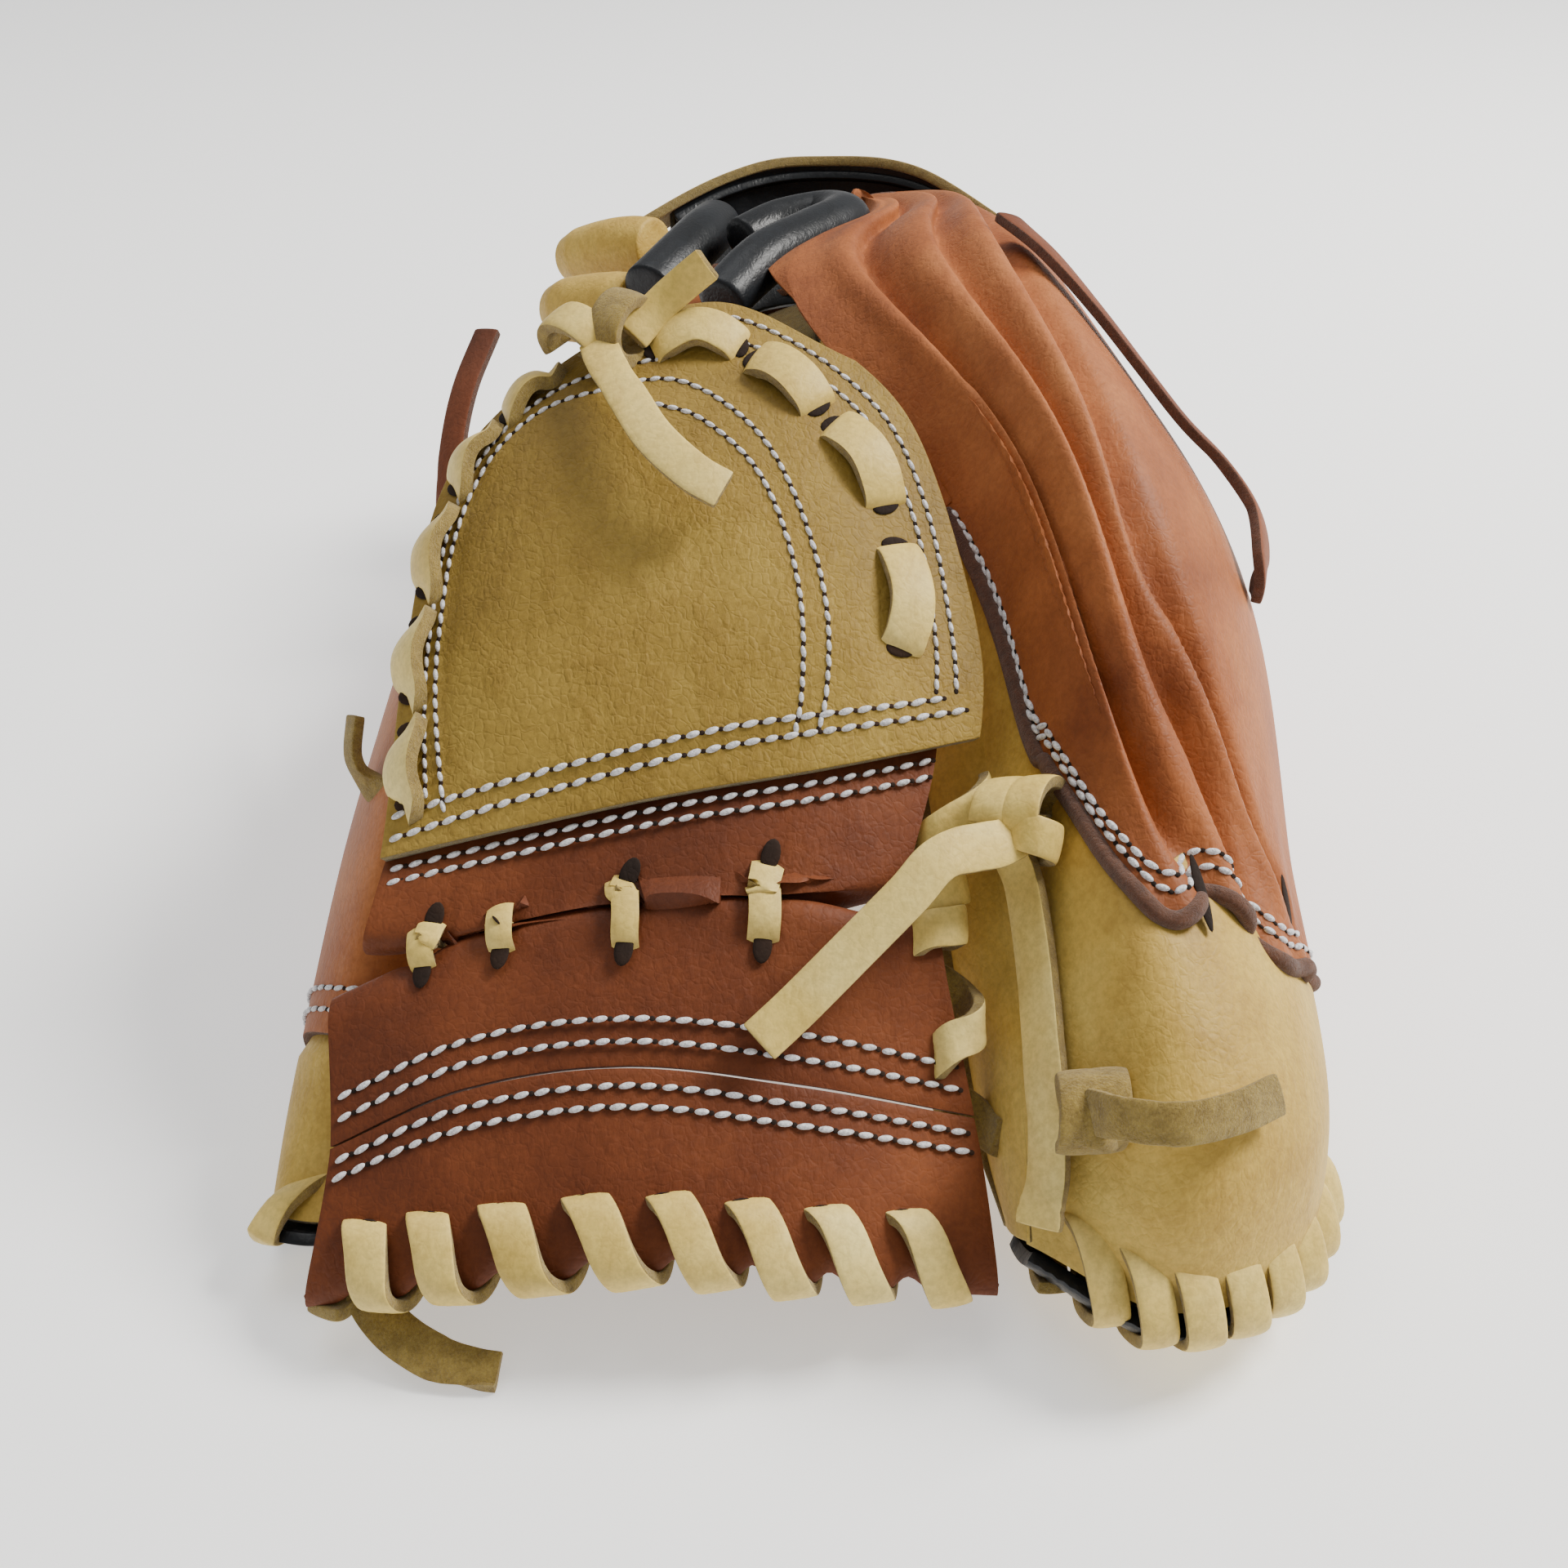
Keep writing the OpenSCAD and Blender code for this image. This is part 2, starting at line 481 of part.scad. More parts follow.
// the same lace ends in a knot at the top, with a loose tail
module web_knot() {
    tail = [[0.27, 0.955, over_h + 2], [0.32, 0.91, over_h + 4.5],
        [0.43, 0.85, over_h + 5], [0.55, 0.80, over_h + 4.5]];
    short = [[0.36, 0.955, over_h + 3], [0.44, 0.99, over_h + 4], [0.50, 1, over_h + 9]];
    knot = [[0.20, 0.93, over_h + 1], [0.27, 0.96, over_h + 3.4], [0.36, 0.945, over_h + 1]];
    color(lace_c) {
        web_lace(tail);
        web_lace(short);
        roll([for (p = knot) web(p[0], p[1], p[2])], knot_r, 4, 6);
    }
}
module web_tip_lace() {
    steps = web_loops * 9;
    us = [for (i = [0:steps]) mix(0.03, 0.93, i / steps)];
    color(lace_c) whip([for (u = us) web(u, 0.002, 0)],
        [for (u = us) unit(web(u, 0.09, 0) - web(u, 0.002, 0))],
        [for (u = us) web_normal(u, 0.03)], web_loops, lace_inset * 0.8,
        [for (u = us) leather_t/2 + lace_t/2 + lace_gap]);
}
// the end of the tip lace hangs from the corner of the web
module web_corner_tail() {
    tail = [[-62,-134,8], [-58,-138,5], [-52,-141,3], [-43,-142,2]];
    color(lace_c) loose_lace([for (p = tail) put(p)], [0.3, -0.6, 0.7]);
}
// lace tying the edge of the web to the index finger
module web_index_lace() {
    turns = 4;
    steps = turns * 9;
    vs = [for (i = [0:steps]) mix(0.16, 0.50, i / steps)];
    color(lace_c) whip([for (v = vs) web(1, v, 0) + [3, 0, -2]],
        [for (v = vs) unit(web(0.9, v, 0) - web(1, v, 0))],
        [for (v = vs) web_normal(0.98, v)], turns, lace_inset * 0.5,
        [for (v = vs) 5]);
}

// ---- thumb, the part fixed to the hand ----
base_s = cut_s + 0.004;
foot_t = 1 - binding_share - 0.01;
module thumb_base_back() {
    color(tan_c) layer(thumb_out, thumb_in, patch(base_s, 0.975, 8, 0, foot_t, 8),
        back_d[0], back_d[1]);
}
module thumb_base_edge() {
    color(tan_c) layer(thumb_out, thumb_in, patch(base_s, 0.975, 7, 1 - binding_share, 1, 1),
        [0, 0], [0, 1]);
}
module thumb_heel_pad() {
    color(felt_c) layer(thumb_out, thumb_in, patch(0.64, 0.95, 4, 0.3, 0.9, 4),
        pad_d[0], pad_d[1]);
}
function on_thumb(s, t, h) = deep(thumb_out, thumb_in, s, t, [-h, 0]);
module thumb_loop_lace() {
    foot = on_thumb(0.54, 0.66, lie_h);
    tail = [foot + [1, -6, -3], foot, foot + [-1, 12, 9], foot + [0, 22, 17], foot + [3, 33, 24]];
    color(tan_c) lace([for (u = count(0, 1, 8)) spline(tail, u)],
        [for (u = count(0, 1, 8)) [-1, -0.2, 0.3]]);
}

// ---- thumb stall, swings about the web lacing ----
thumb_seam = 0.20;
stall_end = cut_s;
module thumb_back() {
    grid = [for (f = count(0, 1, 9)) [for (t = count(0, foot_t, 8))
        [mix(thumb_seam - 0.03 * t + 0.004, stall_end, f), t]]];
    color(tan_c) layer(thumb_out, thumb_in, grid, back_d[0], back_d[1]);
}
thumb_tip_s = 0.04;
module thumb_tip_panel() {
    grid = [for (f = count(1, 0, 5)) [for (t = count(0, foot_t, 9))
        [mix(thumb_tip_s, thumb_seam - 0.03 * t - 0.004, f), t]]];
    color(blond_c) layer(thumb_out, thumb_in, grid, back_d[0], back_d[1]);
}
module thumb_palm() {
    color(blond_c) layer(thumb_out, thumb_in, patch(thumb_tip_s, stall_end, 10, 0, foot_t, 6),
        palm_d[0], palm_d[1]);
}
// the wall starts where the stall is thick enough, and stands on its own
// normal because the back runs almost straight on from it
wall_s = 0.15;
module thumb_side_wall() {
    function rib(s) = [for (d = [between_d[0], between_d[1] - [1.5, 0]])
        deep(thumb_out, thumb_in, s, 0.01, d)];
    ribs = [for (s = count(wall_s, stall_end, 8)) rib(s)];
    inward = [for (i = [0:8]) unit(cross(ribs[i][1] - ribs[i][0],
        ribs[max(i-1, 0)][0] - ribs[min(i+1, 8)][0])) * lining_t];
    color(blond_c) shell(ribs, [for (i = [0:8]) [for (p = ribs[i]) p + inward[i]]]);
}
module thumb_lining() {
    d0 = leather_t + layer_gap + 0.8;
    color(black_c) layer(thumb_out, thumb_in, patch(0.24, stall_end, 5, 0.08, 0.9, 5),
        [d0, 0], [d0 + lining_t, 0]);
}
module thumb_pad() {
    color(felt_c) layer(thumb_out, thumb_in, patch(0.22, stall_end - 0.02, 5, 0.27, 0.86, 4),
        pad_d[0], pad_d[1]);
}
module thumb_tip_binding() {
    color(black_c) layer(thumb_out, thumb_in, patch(0.004, thumb_tip_s - 0.004, 1, 0, foot_t, 8),
        [0.6, 0], [-0.6, 1]);
}
module thumb_edge_binding() {
    color(tan_c) layer(thumb_out, thumb_in,
        patch(0.004, stall_end, 9, 1 - binding_share, 1, 1), [0, 0], [0, 1]);
}
// the end of the lace that closes the thumb stall
module thumb_side_tail() {
    foot = on_thumb(0.34, 0.60, lie_h);
    tail = [foot + [4, -3, -1], foot, foot + [-2.5, 2, 4], foot + [-2, 6, 10]];
    color(lace_c) loose_lace(tail, [-0.9, -0.4, 0.3]);
}
module thumb_tip_lace() {
    steps = thumb_loops * 9;
    ts = [for (i = [0:steps]) mix(0.2, 0.8, i / steps)];
    mid = [for (t = ts) deep(thumb_out, thumb_in, 0.004, t, [0, 0.5])];
    far = [for (t = ts) deep(thumb_out, thumb_in, 0.12, t, [0, 0.5])];
    up = [for (t = ts) unit(deep(thumb_out, thumb_in, 0.03, t, [0, 0])
        - deep(thumb_out, thumb_in, 0.03, t, [0, 1]))];
    half = [for (t = ts) norm(deep(thumb_out, thumb_in, 0.05, t, [0, 0])
        - deep(thumb_out, thumb_in, 0.05, t, [0, 1])) / 2 + lace_t/2 + lace_gap];
    color(lace_c) whip(mid, [for (i = [0:steps]) unit(far[i] - mid[i])], up,
        thumb_loops, lace_inset * 0.8, half);
}

finger_back();
fingertip_panel();
index_side_panel();
palm_shell();
finger_lining();
palm_pad();
finger_stalls();
fingertip_binding();
pinky_edge_binding();
fingertip_lace();
index_lace();
index_knot();
tip_knot();
pinky_loop_lace();
wrist_strap();
strap_lining();
opening_rim();
opening_bar();
strap_roll();
heel_roll();
heel_binding();
web_panel_outer();
web_panel_inner();
web_bar_lower();
web_bar_upper();
web_tip_strip();
web_cross_lace();
web_arch_lace();
web_knot();
web_tip_lace();
web_corner_tail();
web_index_lace();
thumb_base_back();
thumb_base_edge();
thumb_heel_pad();
thumb_loop_lace();
thumb_back();
thumb_tip_panel();
thumb_palm();
thumb_side_wall();
thumb_lining();
thumb_pad();
thumb_tip_binding();
thumb_edge_binding();
thumb_side_tail();
thumb_tip_lace();
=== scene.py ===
import bpy, bmesh, math
import numpy as np
from mathutils import Vector, Matrix


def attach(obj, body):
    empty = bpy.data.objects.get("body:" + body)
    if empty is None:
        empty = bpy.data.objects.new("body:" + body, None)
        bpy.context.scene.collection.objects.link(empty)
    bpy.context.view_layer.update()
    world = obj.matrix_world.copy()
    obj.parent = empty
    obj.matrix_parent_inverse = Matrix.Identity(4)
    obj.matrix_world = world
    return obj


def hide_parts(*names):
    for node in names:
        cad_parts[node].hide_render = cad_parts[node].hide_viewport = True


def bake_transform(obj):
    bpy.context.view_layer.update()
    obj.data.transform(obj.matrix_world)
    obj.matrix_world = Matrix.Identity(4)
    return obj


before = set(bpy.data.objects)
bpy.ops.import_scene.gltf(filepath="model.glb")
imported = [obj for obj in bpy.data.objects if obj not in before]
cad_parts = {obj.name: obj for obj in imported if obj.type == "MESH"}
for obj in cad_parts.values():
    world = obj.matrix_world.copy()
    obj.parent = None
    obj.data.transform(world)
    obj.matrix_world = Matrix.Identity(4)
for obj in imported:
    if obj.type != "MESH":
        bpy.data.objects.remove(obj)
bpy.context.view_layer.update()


# ---- camera and studio -------------------------------------------------
# The glove lies palm down on a pale floor and is seen from the fingertips,
# from above. One large warm lamp stands at the little finger's side, with a
# soft one over the wrist and a plain white sky.
cam_data = bpy.data.cameras.new("camera")
cam_data.lens = 36
cam_data.sensor_width = 36
cam = bpy.data.objects.new("camera", cam_data)
cam.location = (-0.0055, -0.278, 0.210)
cam.rotation_euler = (math.radians(53), 0, 0)
bpy.context.scene.collection.objects.link(cam)
bpy.context.scene.camera = cam

floor_bm = bmesh.new()
bmesh.ops.create_grid(floor_bm, x_segments=2, y_segments=2, size=4)
floor_mesh = bpy.data.meshes.new("floor")
floor_bm.to_mesh(floor_mesh)
floor = bpy.data.objects.new("floor", floor_mesh)
floor.location = (0, 0, -0.0003)
bpy.context.scene.collection.objects.link(floor)
floor_mat = bpy.data.materials.new("floor_pale")
floor_mat.use_nodes = True
floor_shader = floor_mat.node_tree.nodes["Principled BSDF"]
floor_shader.inputs["Base Color"].default_value = (0.97, 0.97, 0.965, 1)
floor_shader.inputs["Roughness"].default_value = 0.9
floor_shader.inputs["Emission Color"].default_value = (1, 1, 1, 1)
floor_shader.inputs["Emission Strength"].default_value = 0.55
floor_mesh.materials.append(floor_mat)

world = bpy.data.worlds.new("studio")
world.use_nodes = True
world.node_tree.nodes["Background"].inputs[0].default_value = (1.0, 1.0, 1.0, 1)
world.node_tree.nodes["Background"].inputs[1].default_value = 0.36
bpy.context.scene.world = world


def area_light(name, where, target, size, watts, colour):
    """A square lamp at one place, turned to shine at another."""
    data = bpy.data.lights.new(name, "AREA")
    data.size = size
    data.energy = watts
    data.color = colour
    lamp = bpy.data.objects.new(name, data)
    lamp.location = where
    lamp.rotation_euler = (Vector(target) - Vector(where)).to_track_quat("-Z", "Y").to_euler()
    bpy.context.scene.collection.objects.link(lamp)


area_light("key", (0.85, 0.22, 1.00), (0, -0.02, 0.05), 0.45, 27, (1.0, 0.975, 0.93))
area_light("top", (-0.25, 0.35, 1.2), (0, 0, 0.05), 0.8, 5, (1.0, 0.99, 0.98))


# ---- back of the hand --------------------------------------------------
# One panel of tanned red leather over all four fingers, drawn into three
# pleats between them. Its scalloped lower edge is turned under and sewn down
# with two rows of thick white thread.
seam_row = [0.50, 0.355, 0.30, 0.27, 0.285, 0.262, 0.25, 0.25, 0.25, 0.26, 0.27]
pleat_rows = [[0.36, 0.19, 0.11, 0.07, 0.05, 0.05],
              [0.45, 0.30, 0.20, 0.17, 0.15, 0.14],
              [0.64, 0.36, 0.28, 0.25, 0.23, 0.21]]
foot_t = 0.96


def weights(u, n):
    """Cell numbers and Catmull-Rom weights at places 0 to 1 along n cells."""
    x = np.clip(u, 0, 1) * n
    i = np.minimum(np.floor(x).astype(int), n - 1)
    f = x - i
    w = np.stack([-0.5 * f + f**2 - 0.5 * f**3, 1 - 2.5 * f**2 + 1.5 * f**3,
                  0.5 * f + 2 * f**2 - 1.5 * f**3, -0.5 * f**2 + 0.5 * f**3], -1)
    return i, w


def spline(points, u):
    """A smooth curve through the points, or smooth numbers through a list."""
    p = np.array(points, float)
    p = np.concatenate([2 * p[:1] - p[1:2], p, 2 * p[-1:] - p[-2:-1]], 0)
    i, w = weights(np.asarray(u, float), len(p) - 3)
    return sum(w[..., a].reshape(w.shape[:-1] + (1,) * (p.ndim - 1)) * p[i + a] for a in range(4))


def seam_s(t):
    """The cut edge of the panel over the fingertips."""
    return spline(seam_row, t)


def back_place(f, t):
    """Where a point of the panel lies, f from the cut edge to the wrist."""
    lobes = 0.010 * np.abs(np.sin(math.pi * (t - 0.12) / 0.24)) - 0.006
    return seam_s(t) + 0.004 - lobes * (t > 0.12) + (0.975 - seam_s(t)) * f


def back_depth(f, t):
    """How far the panel sinks at its pleats and stands up between them."""
    fade = 1 - 0.62 * f
    d = np.zeros(np.broadcast(f, t).shape)
    for k, row in enumerate(pleat_rows):
        p = spline(row, f)
        x = (t - p) * (110 + 40 * f)
        fold = np.exp(-((x - 0.6) / np.where(x > 0.6, 3.4, 1.5)) ** 2)
        d = d + 5.2 * fade * fold
        puff = np.exp(-((x + 4.2) / 3.0) ** 2)
        d = d - 1.5 * fade * puff
    rim = np.exp(-(f / 0.035) ** 2)
    ripple = 0.35 * np.sin(t * 70 + 9 * f) * np.exp(-((f - 0.02) / 0.1) ** 2)
    return d * (1 - 0.55 * rim) + ripple + 0.2 * np.sin(11 * t + 8 * f)


f = np.linspace(0, 1, 150)[:, None]
t = np.linspace(0, foot_t, 190)[None, :]

CENTRE = np.array([-5.5, -2.96, 0.0])


def pads(g):
    """One more row and column on every side, so that the ends are held."""
    g = np.array(g, float)
    g = np.concatenate([2 * g[:1] - g[1:2], g, 2 * g[-1:] - g[-2:-1]], 0)
    return np.concatenate([2 * g[:, :1] - g[:, 1:2], g, 2 * g[:, -1:] - g[:, -2:-1]], 1)


finger_out = np.array([
    [[36,-133,14], [55,-144,11], [74,-137,10], [84,-120,8], [88,-98,0]],
    [[36,-116,26], [56,-130,38], [76,-122,34], [87,-104,22], [91,-80,0]],
    [[34,-66,52], [52,-83,66], [76,-78,52], [90,-64,30], [94,-46,0]],
    [[29,-26,82], [49,-34,99], [76,-28,80], [92,-18,45], [95,-6,0]],
    [[1,30,104], [42,26,112], [68,26,87], [87,30,50], [93,34,0]],
    [[22,80,103], [42,80,104], [60,80,82], [79,80,45], [86,80,0]],
    [[12,124,91], [31,124,92], [51,124,79], [69,124,43], [75,124,0]]], float)
finger_in = np.array([
    [[35,-125,7], [53,-136,4], [70,-129,3], [77,-114,2], [79,-95,0]],
    [[30,-104,15], [48,-110,18], [63,-105,15], [72,-92,8], [79,-76,0]],
    [[23,-60,42], [38,-64,41], [55,-61,33], [66,-54,17], [81,-45,0]],
    [[18,-22,64], [33,-25,64], [54,-22,50], [67,-15,26], [82,-6,0]],
    [[6,30,74], [29,28,74], [52,28,58], [66,30,30], [81,34,0]],
    [[8,80,70], [26,80,68], [44,80,52], [58,80,26], [73,80,0]],
    [[4,124,64], [19,124,62], [35,124,48], [48,124,24], [62,124,0]]], float)
FO, FI = pads(finger_out + CENTRE), pads(finger_in + CENTRE)


def net(g, s, t):
    """Points of a surface at s from tip to wrist and t from its inner edge."""
    s, t = np.broadcast_arrays(np.asarray(s, float), np.asarray(t, float))
    i, ws = weights(s, g.shape[0] - 3)
    j, wt = weights(t, g.shape[1] - 3)
    out = np.zeros(s.shape + (3,))
    for a in range(4):
        for b in range(4):
            out += (ws[..., a] * wt[..., b])[..., None] * g[i + a, j + b]
    return out


def deep(go, gi, s, t, mm, share=0.0):
    """Points below an outer surface, by millimetres and a share of the depth."""
    a, b = net(go, s, t), net(gi, s, t)
    h = np.linalg.norm(b - a, axis=-1, keepdims=True)
    p = a + (b - a) * (np.asarray(mm)[..., None] + share * h) / h
    p[..., 2] = np.maximum(p[..., 2], 0)
    return p


back_pts = deep(FO, FI, back_place(f, t), t + 0 * f, back_depth(f, t))


def unit(v):
    """The same directions at length one."""
    return v / np.maximum(np.linalg.norm(v, axis=-1, keepdims=True), 1e-9)


# the panel runs on a little under the half-moon of the web
lead = unit(back_pts[:, :1] - back_pts[:, 12:13])
under_moon = np.clip((f - 0.30) / 0.14, 0, 1) * np.clip((0.84 - f) / 0.12, 0, 1)
run_on = (lead * (under_moon * np.linspace(15, 1.5, 10)[None, :])[..., None]
          + np.array([0, 0, -1]) * (under_moon * np.linspace(4.5, 0.2, 10)[None, :])[..., None])
back_pts = np.concatenate([back_pts[:, :1] + run_on + lead * np.linspace(0.5, 0.05, 10)[None, :, None],
                           back_pts], 1)


def new_material(name, rough, sheen=0.0):
    """A named material, with its node tree and its main shader."""
    m = bpy.data.materials.new(name)
    m.use_nodes = True
    nt = m.node_tree
    bsdf = nt.nodes["Principled BSDF"]
    bsdf.inputs["Roughness"].default_value = rough
    bsdf.inputs["Specular IOR Level"].default_value = 0.28
    bsdf.inputs["Sheen Weight"].default_value = sheen
    return m, nt, bsdf


def add(nt, kind, **sockets):
    """A new node with some of its inputs set."""
    n = nt.nodes.new(kind)
    for key, value in sockets.items():
        n.inputs[key.replace("_", " ")].default_value = value
    return n


def noise(nt, coord, scale, detail=4, rough=0.55, stretch=None):
    """Cloudy noise, as large as the scale says."""
    n = add(nt, "ShaderNodeTexNoise", Scale=scale, Detail=detail, Roughness=rough)
    if stretch is None:
        nt.links.new(coord, n.inputs["Vector"])
    else:
        mp = nt.nodes.new("ShaderNodeMapping")
        mp.inputs["Scale"].default_value = stretch
        nt.links.new(coord, mp.inputs["Vector"])
        nt.links.new(mp.outputs["Vector"], n.inputs["Vector"])
    return n.outputs["Fac"]


def ramp(nt, fac, stops):
    """Turns a grey value into colours at the given stops."""
    r = nt.nodes.new("ShaderNodeValToRGB")
    while len(r.color_ramp.elements) < len(stops):
        r.color_ramp.elements.new(0.5)
    for e, (pos, c) in zip(r.color_ramp.elements, stops):
        e.position = pos
        e.color = (*c, 1)
    nt.links.new(fac, r.inputs["Fac"])
    return r.outputs["Color"]


def blend_colour(nt, a, b, fac, kind="MIX"):
    """Mixes two colours by a share or by another texture."""
    n = nt.nodes.new("ShaderNodeMix")
    n.data_type = "RGBA"
    n.blend_type = kind
    n.inputs[0].default_value = fac if isinstance(fac, float) else 1
    if not isinstance(fac, float):
        nt.links.new(fac, n.inputs[0])
    nt.links.new(a, n.inputs[6])
    nt.links.new(b, n.inputs[7])
    return n.outputs[2]


def bump(nt, height, strength, distance, under=None):
    """Raises and sinks the surface by a texture, over another one if given."""
    n = add(nt, "ShaderNodeBump", Strength=strength, Distance=distance)
    nt.links.new(height, n.inputs["Height"])
    if under is not None:
        nt.links.new(under, n.inputs["Normal"])
    return n.outputs["Normal"]


def leather(name, dark, mid, light, rough=0.62, grain=0.6, crease=0.5, sheen=0.03):
    """Tanned leather: colour clouds, pebbled grain, fine pores and creases."""
    m, nt, bsdf = new_material(name, rough, sheen)
    obj = nt.nodes.new("ShaderNodeTexCoord").outputs["Object"]
    cloud = noise(nt, obj, 22, 5, 0.6)
    colour = ramp(nt, cloud, [(0.30, dark), (0.5, mid), (0.72, light)])
    speck = ramp(nt, noise(nt, obj, 900, 2, 0.7), [(0.35, (0.72, 0.70, 0.66)), (0.62, (1, 1, 1))])
    colour = blend_colour(nt, colour, speck, 0.55, "MULTIPLY")
    cells = add(nt, "ShaderNodeTexVoronoi", Scale=620)
    cells.feature = "DISTANCE_TO_EDGE"
    warp = noise(nt, obj, 300, 2)
    warped = nt.nodes.new("ShaderNodeVectorMath")
    warped.operation = "MULTIPLY_ADD"
    nt.links.new(warp, warped.inputs[0])
    warped.inputs[1].default_value = (0.002, 0.002, 0.002)
    nt.links.new(obj, warped.inputs[2])
    nt.links.new(warped.outputs[0], cells.inputs["Vector"])
    pebble = ramp(nt, cells.outputs["Distance"], [(0.0, (0, 0, 0)), (0.16, (1, 1, 1))])
    creases = noise(nt, obj, 60, 6, 0.65, (1.0, 0.35, 0.6))
    folds = ramp(nt, creases, [(0.42, (0, 0, 0)), (0.5, (1, 1, 1)), (0.58, (0.2, 0.2, 0.2))])
    colour = blend_colour(nt, colour, ramp(nt, creases, [(0.44, (1, 1, 1)), (0.5, (0.86, 0.82, 0.78)),
                                                         (0.56, (1, 1, 1))]), 0.6, "MULTIPLY")
    n1 = bump(nt, pebble, 0.22 * grain, 0.0004)
    n2 = bump(nt, folds, 0.30 * crease, 0.0006, n1)
    n3 = bump(nt, noise(nt, obj, 1500, 3), 0.25 * grain, 0.0003, n2)
    nt.links.new(n3, bsdf.inputs["Normal"])
    nt.links.new(colour, bsdf.inputs["Base Color"])
    r = nt.nodes.new("ShaderNodeMapRange")
    r.inputs["To Min"].default_value = rough - 0.12
    r.inputs["To Max"].default_value = rough + 0.14
    nt.links.new(cloud, r.inputs["Value"])
    nt.links.new(r.outputs["Result"], bsdf.inputs["Roughness"])
    return m


red = leather("red_leather", (0.21, 0.052, 0.012), (0.37, 0.112, 0.029), (0.52, 0.19, 0.058), rough=0.58)
MM = 0.001


def grid_mesh(name, pts, out=None, closed=False):
    """A grid whose corners are moved onto the points of a surface."""
    ni, nj = pts.shape[:2]
    bm = bmesh.new()
    bmesh.ops.create_grid(bm, x_segments=ni - 1, y_segments=nj - 1, size=1, calc_uvs=False)
    uv = bm.loops.layers.uv.new("UVMap")
    where = {}
    for v in bm.verts:
        i, j = int(round((v.co.x + 1) / 2 * (ni - 1))), int(round((v.co.y + 1) / 2 * (nj - 1)))
        where[v] = (i, j)
    step_i = np.linalg.norm(np.diff(pts, axis=0), axis=2).mean() if ni > 1 else 0
    step_j = np.linalg.norm(np.diff(pts, axis=1), axis=2).mean() if nj > 1 else 0
    for f in bm.faces:
        for loop in f.loops:
            i, j = where[loop.vert]
            loop[uv].uv = (i * step_i * MM, j * step_j * MM)
    for v, (i, j) in where.items():
        v.co = pts[i, j] * MM
    if closed:
        bmesh.ops.remove_doubles(bm, verts=bm.verts, dist=1e-6)
    bm.normal_update()
    if out is not None:
        total = sum(f.normal.dot(Vector(out)) * f.calc_area() for f in bm.faces)
        if total < 0:
            bmesh.ops.reverse_faces(bm, faces=bm.faces)
    for f in bm.faces:
        f.smooth = True
    mesh = bpy.data.meshes.new(name)
    bm.to_mesh(mesh)
    bm.free()
    return mesh


def soften(ob, sub):
    """Rounds the cut edges, then smooths the piece."""
    bev = ob.modifiers.new("edge", "BEVEL")
    bev.width = 0.35 * MM
    bev.segments = 2
    bev.limit_method = "ANGLE"
    bev.angle_limit = math.radians(50)
    if sub:
        s = ob.modifiers.new("smooth", "SUBSURF")
        s.levels = sub
        s.render_levels = sub


def sheet_piece(name, pts, thick, mats, out=(0, 0, 1), sub=0, offset=-1.0):
    """A cut sheet of leather: a grid with a thickness and rounded edges."""
    ob = bpy.data.objects.new(name, grid_mesh(name, pts, out))
    bpy.context.scene.collection.objects.link(ob)
    for m in mats:
        ob.data.materials.append(m)
    sol = ob.modifiers.new("thick", "SOLIDIFY")
    sol.thickness = thick * MM
    sol.offset = offset
    sol.use_rim = True
    if len(mats) > 1:
        sol.material_offset = 1
        sol.material_offset_rim = 1
    soften(ob, sub)
    return ob


back_leather = sheet_piece("back_leather", back_pts, 1.5, [red])

MITT, STALL = "mitt", "thumb_stall"

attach(back_leather, MITT)
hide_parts("finger_back")

tt_line = np.linspace(0.01, 0.93, 240)
rows = []
ups = []


def surface_up(go, s, t, away):
    """Directions that stand off a surface, on the side given by away."""
    e = 0.01
    ds = net(go, np.minimum(s + e, 1), t) - net(go, np.maximum(s - e, 0), t)
    dt = net(go, s, np.minimum(t + e, 1)) - net(go, s, np.maximum(t - e, 0))
    n = unit(np.cross(ds, dt))
    flip = np.sign(np.sum(n * away, -1, keepdims=True))
    return n * np.where(flip == 0, 1, flip)


def finger_up(s, t):
    """Directions off the outside of the fingers."""
    return surface_up(FO, s, t, deep(FO, FI, s, t, 0) - deep(FO, FI, s, t, 1))


for off in (0.016, 0.027):
    ff = np.full_like(tt_line, off)
    rows.append(deep(FO, FI, back_place(ff, tt_line), tt_line, back_depth(ff, tt_line)))
    ups.append(finger_up(back_place(ff, tt_line), tt_line))

# Near-black leather for the needle holes, slits and punched holes: painted shade of the hollows.
hole_painted_shade = leather("hole_painted_shade", (0.010, 0.006, 0.004), (0.022, 0.012, 0.008), (0.045, 0.022, 0.012),
                    rough=0.9, sheen=0.0)


def twisted_thread(name):
    """Bonded sewing thread, a little shiny."""
    m, nt, bsdf = new_material(name, 0.32, 0.1)
    obj = nt.nodes.new("ShaderNodeTexCoord").outputs["Object"]
    strands = noise(nt, obj, 1800, 3, 0.8)
    nt.links.new(ramp(nt, strands, [(0.3, (0.36, 0.35, 0.36)), (0.62, (0.90, 0.89, 0.90))]),
                 bsdf.inputs["Base Color"])
    nt.links.new(bump(nt, noise(nt, obj, 3000, 2), 0.6, 0.0003), bsdf.inputs["Normal"])
    return m


thread = twisted_thread("thread")


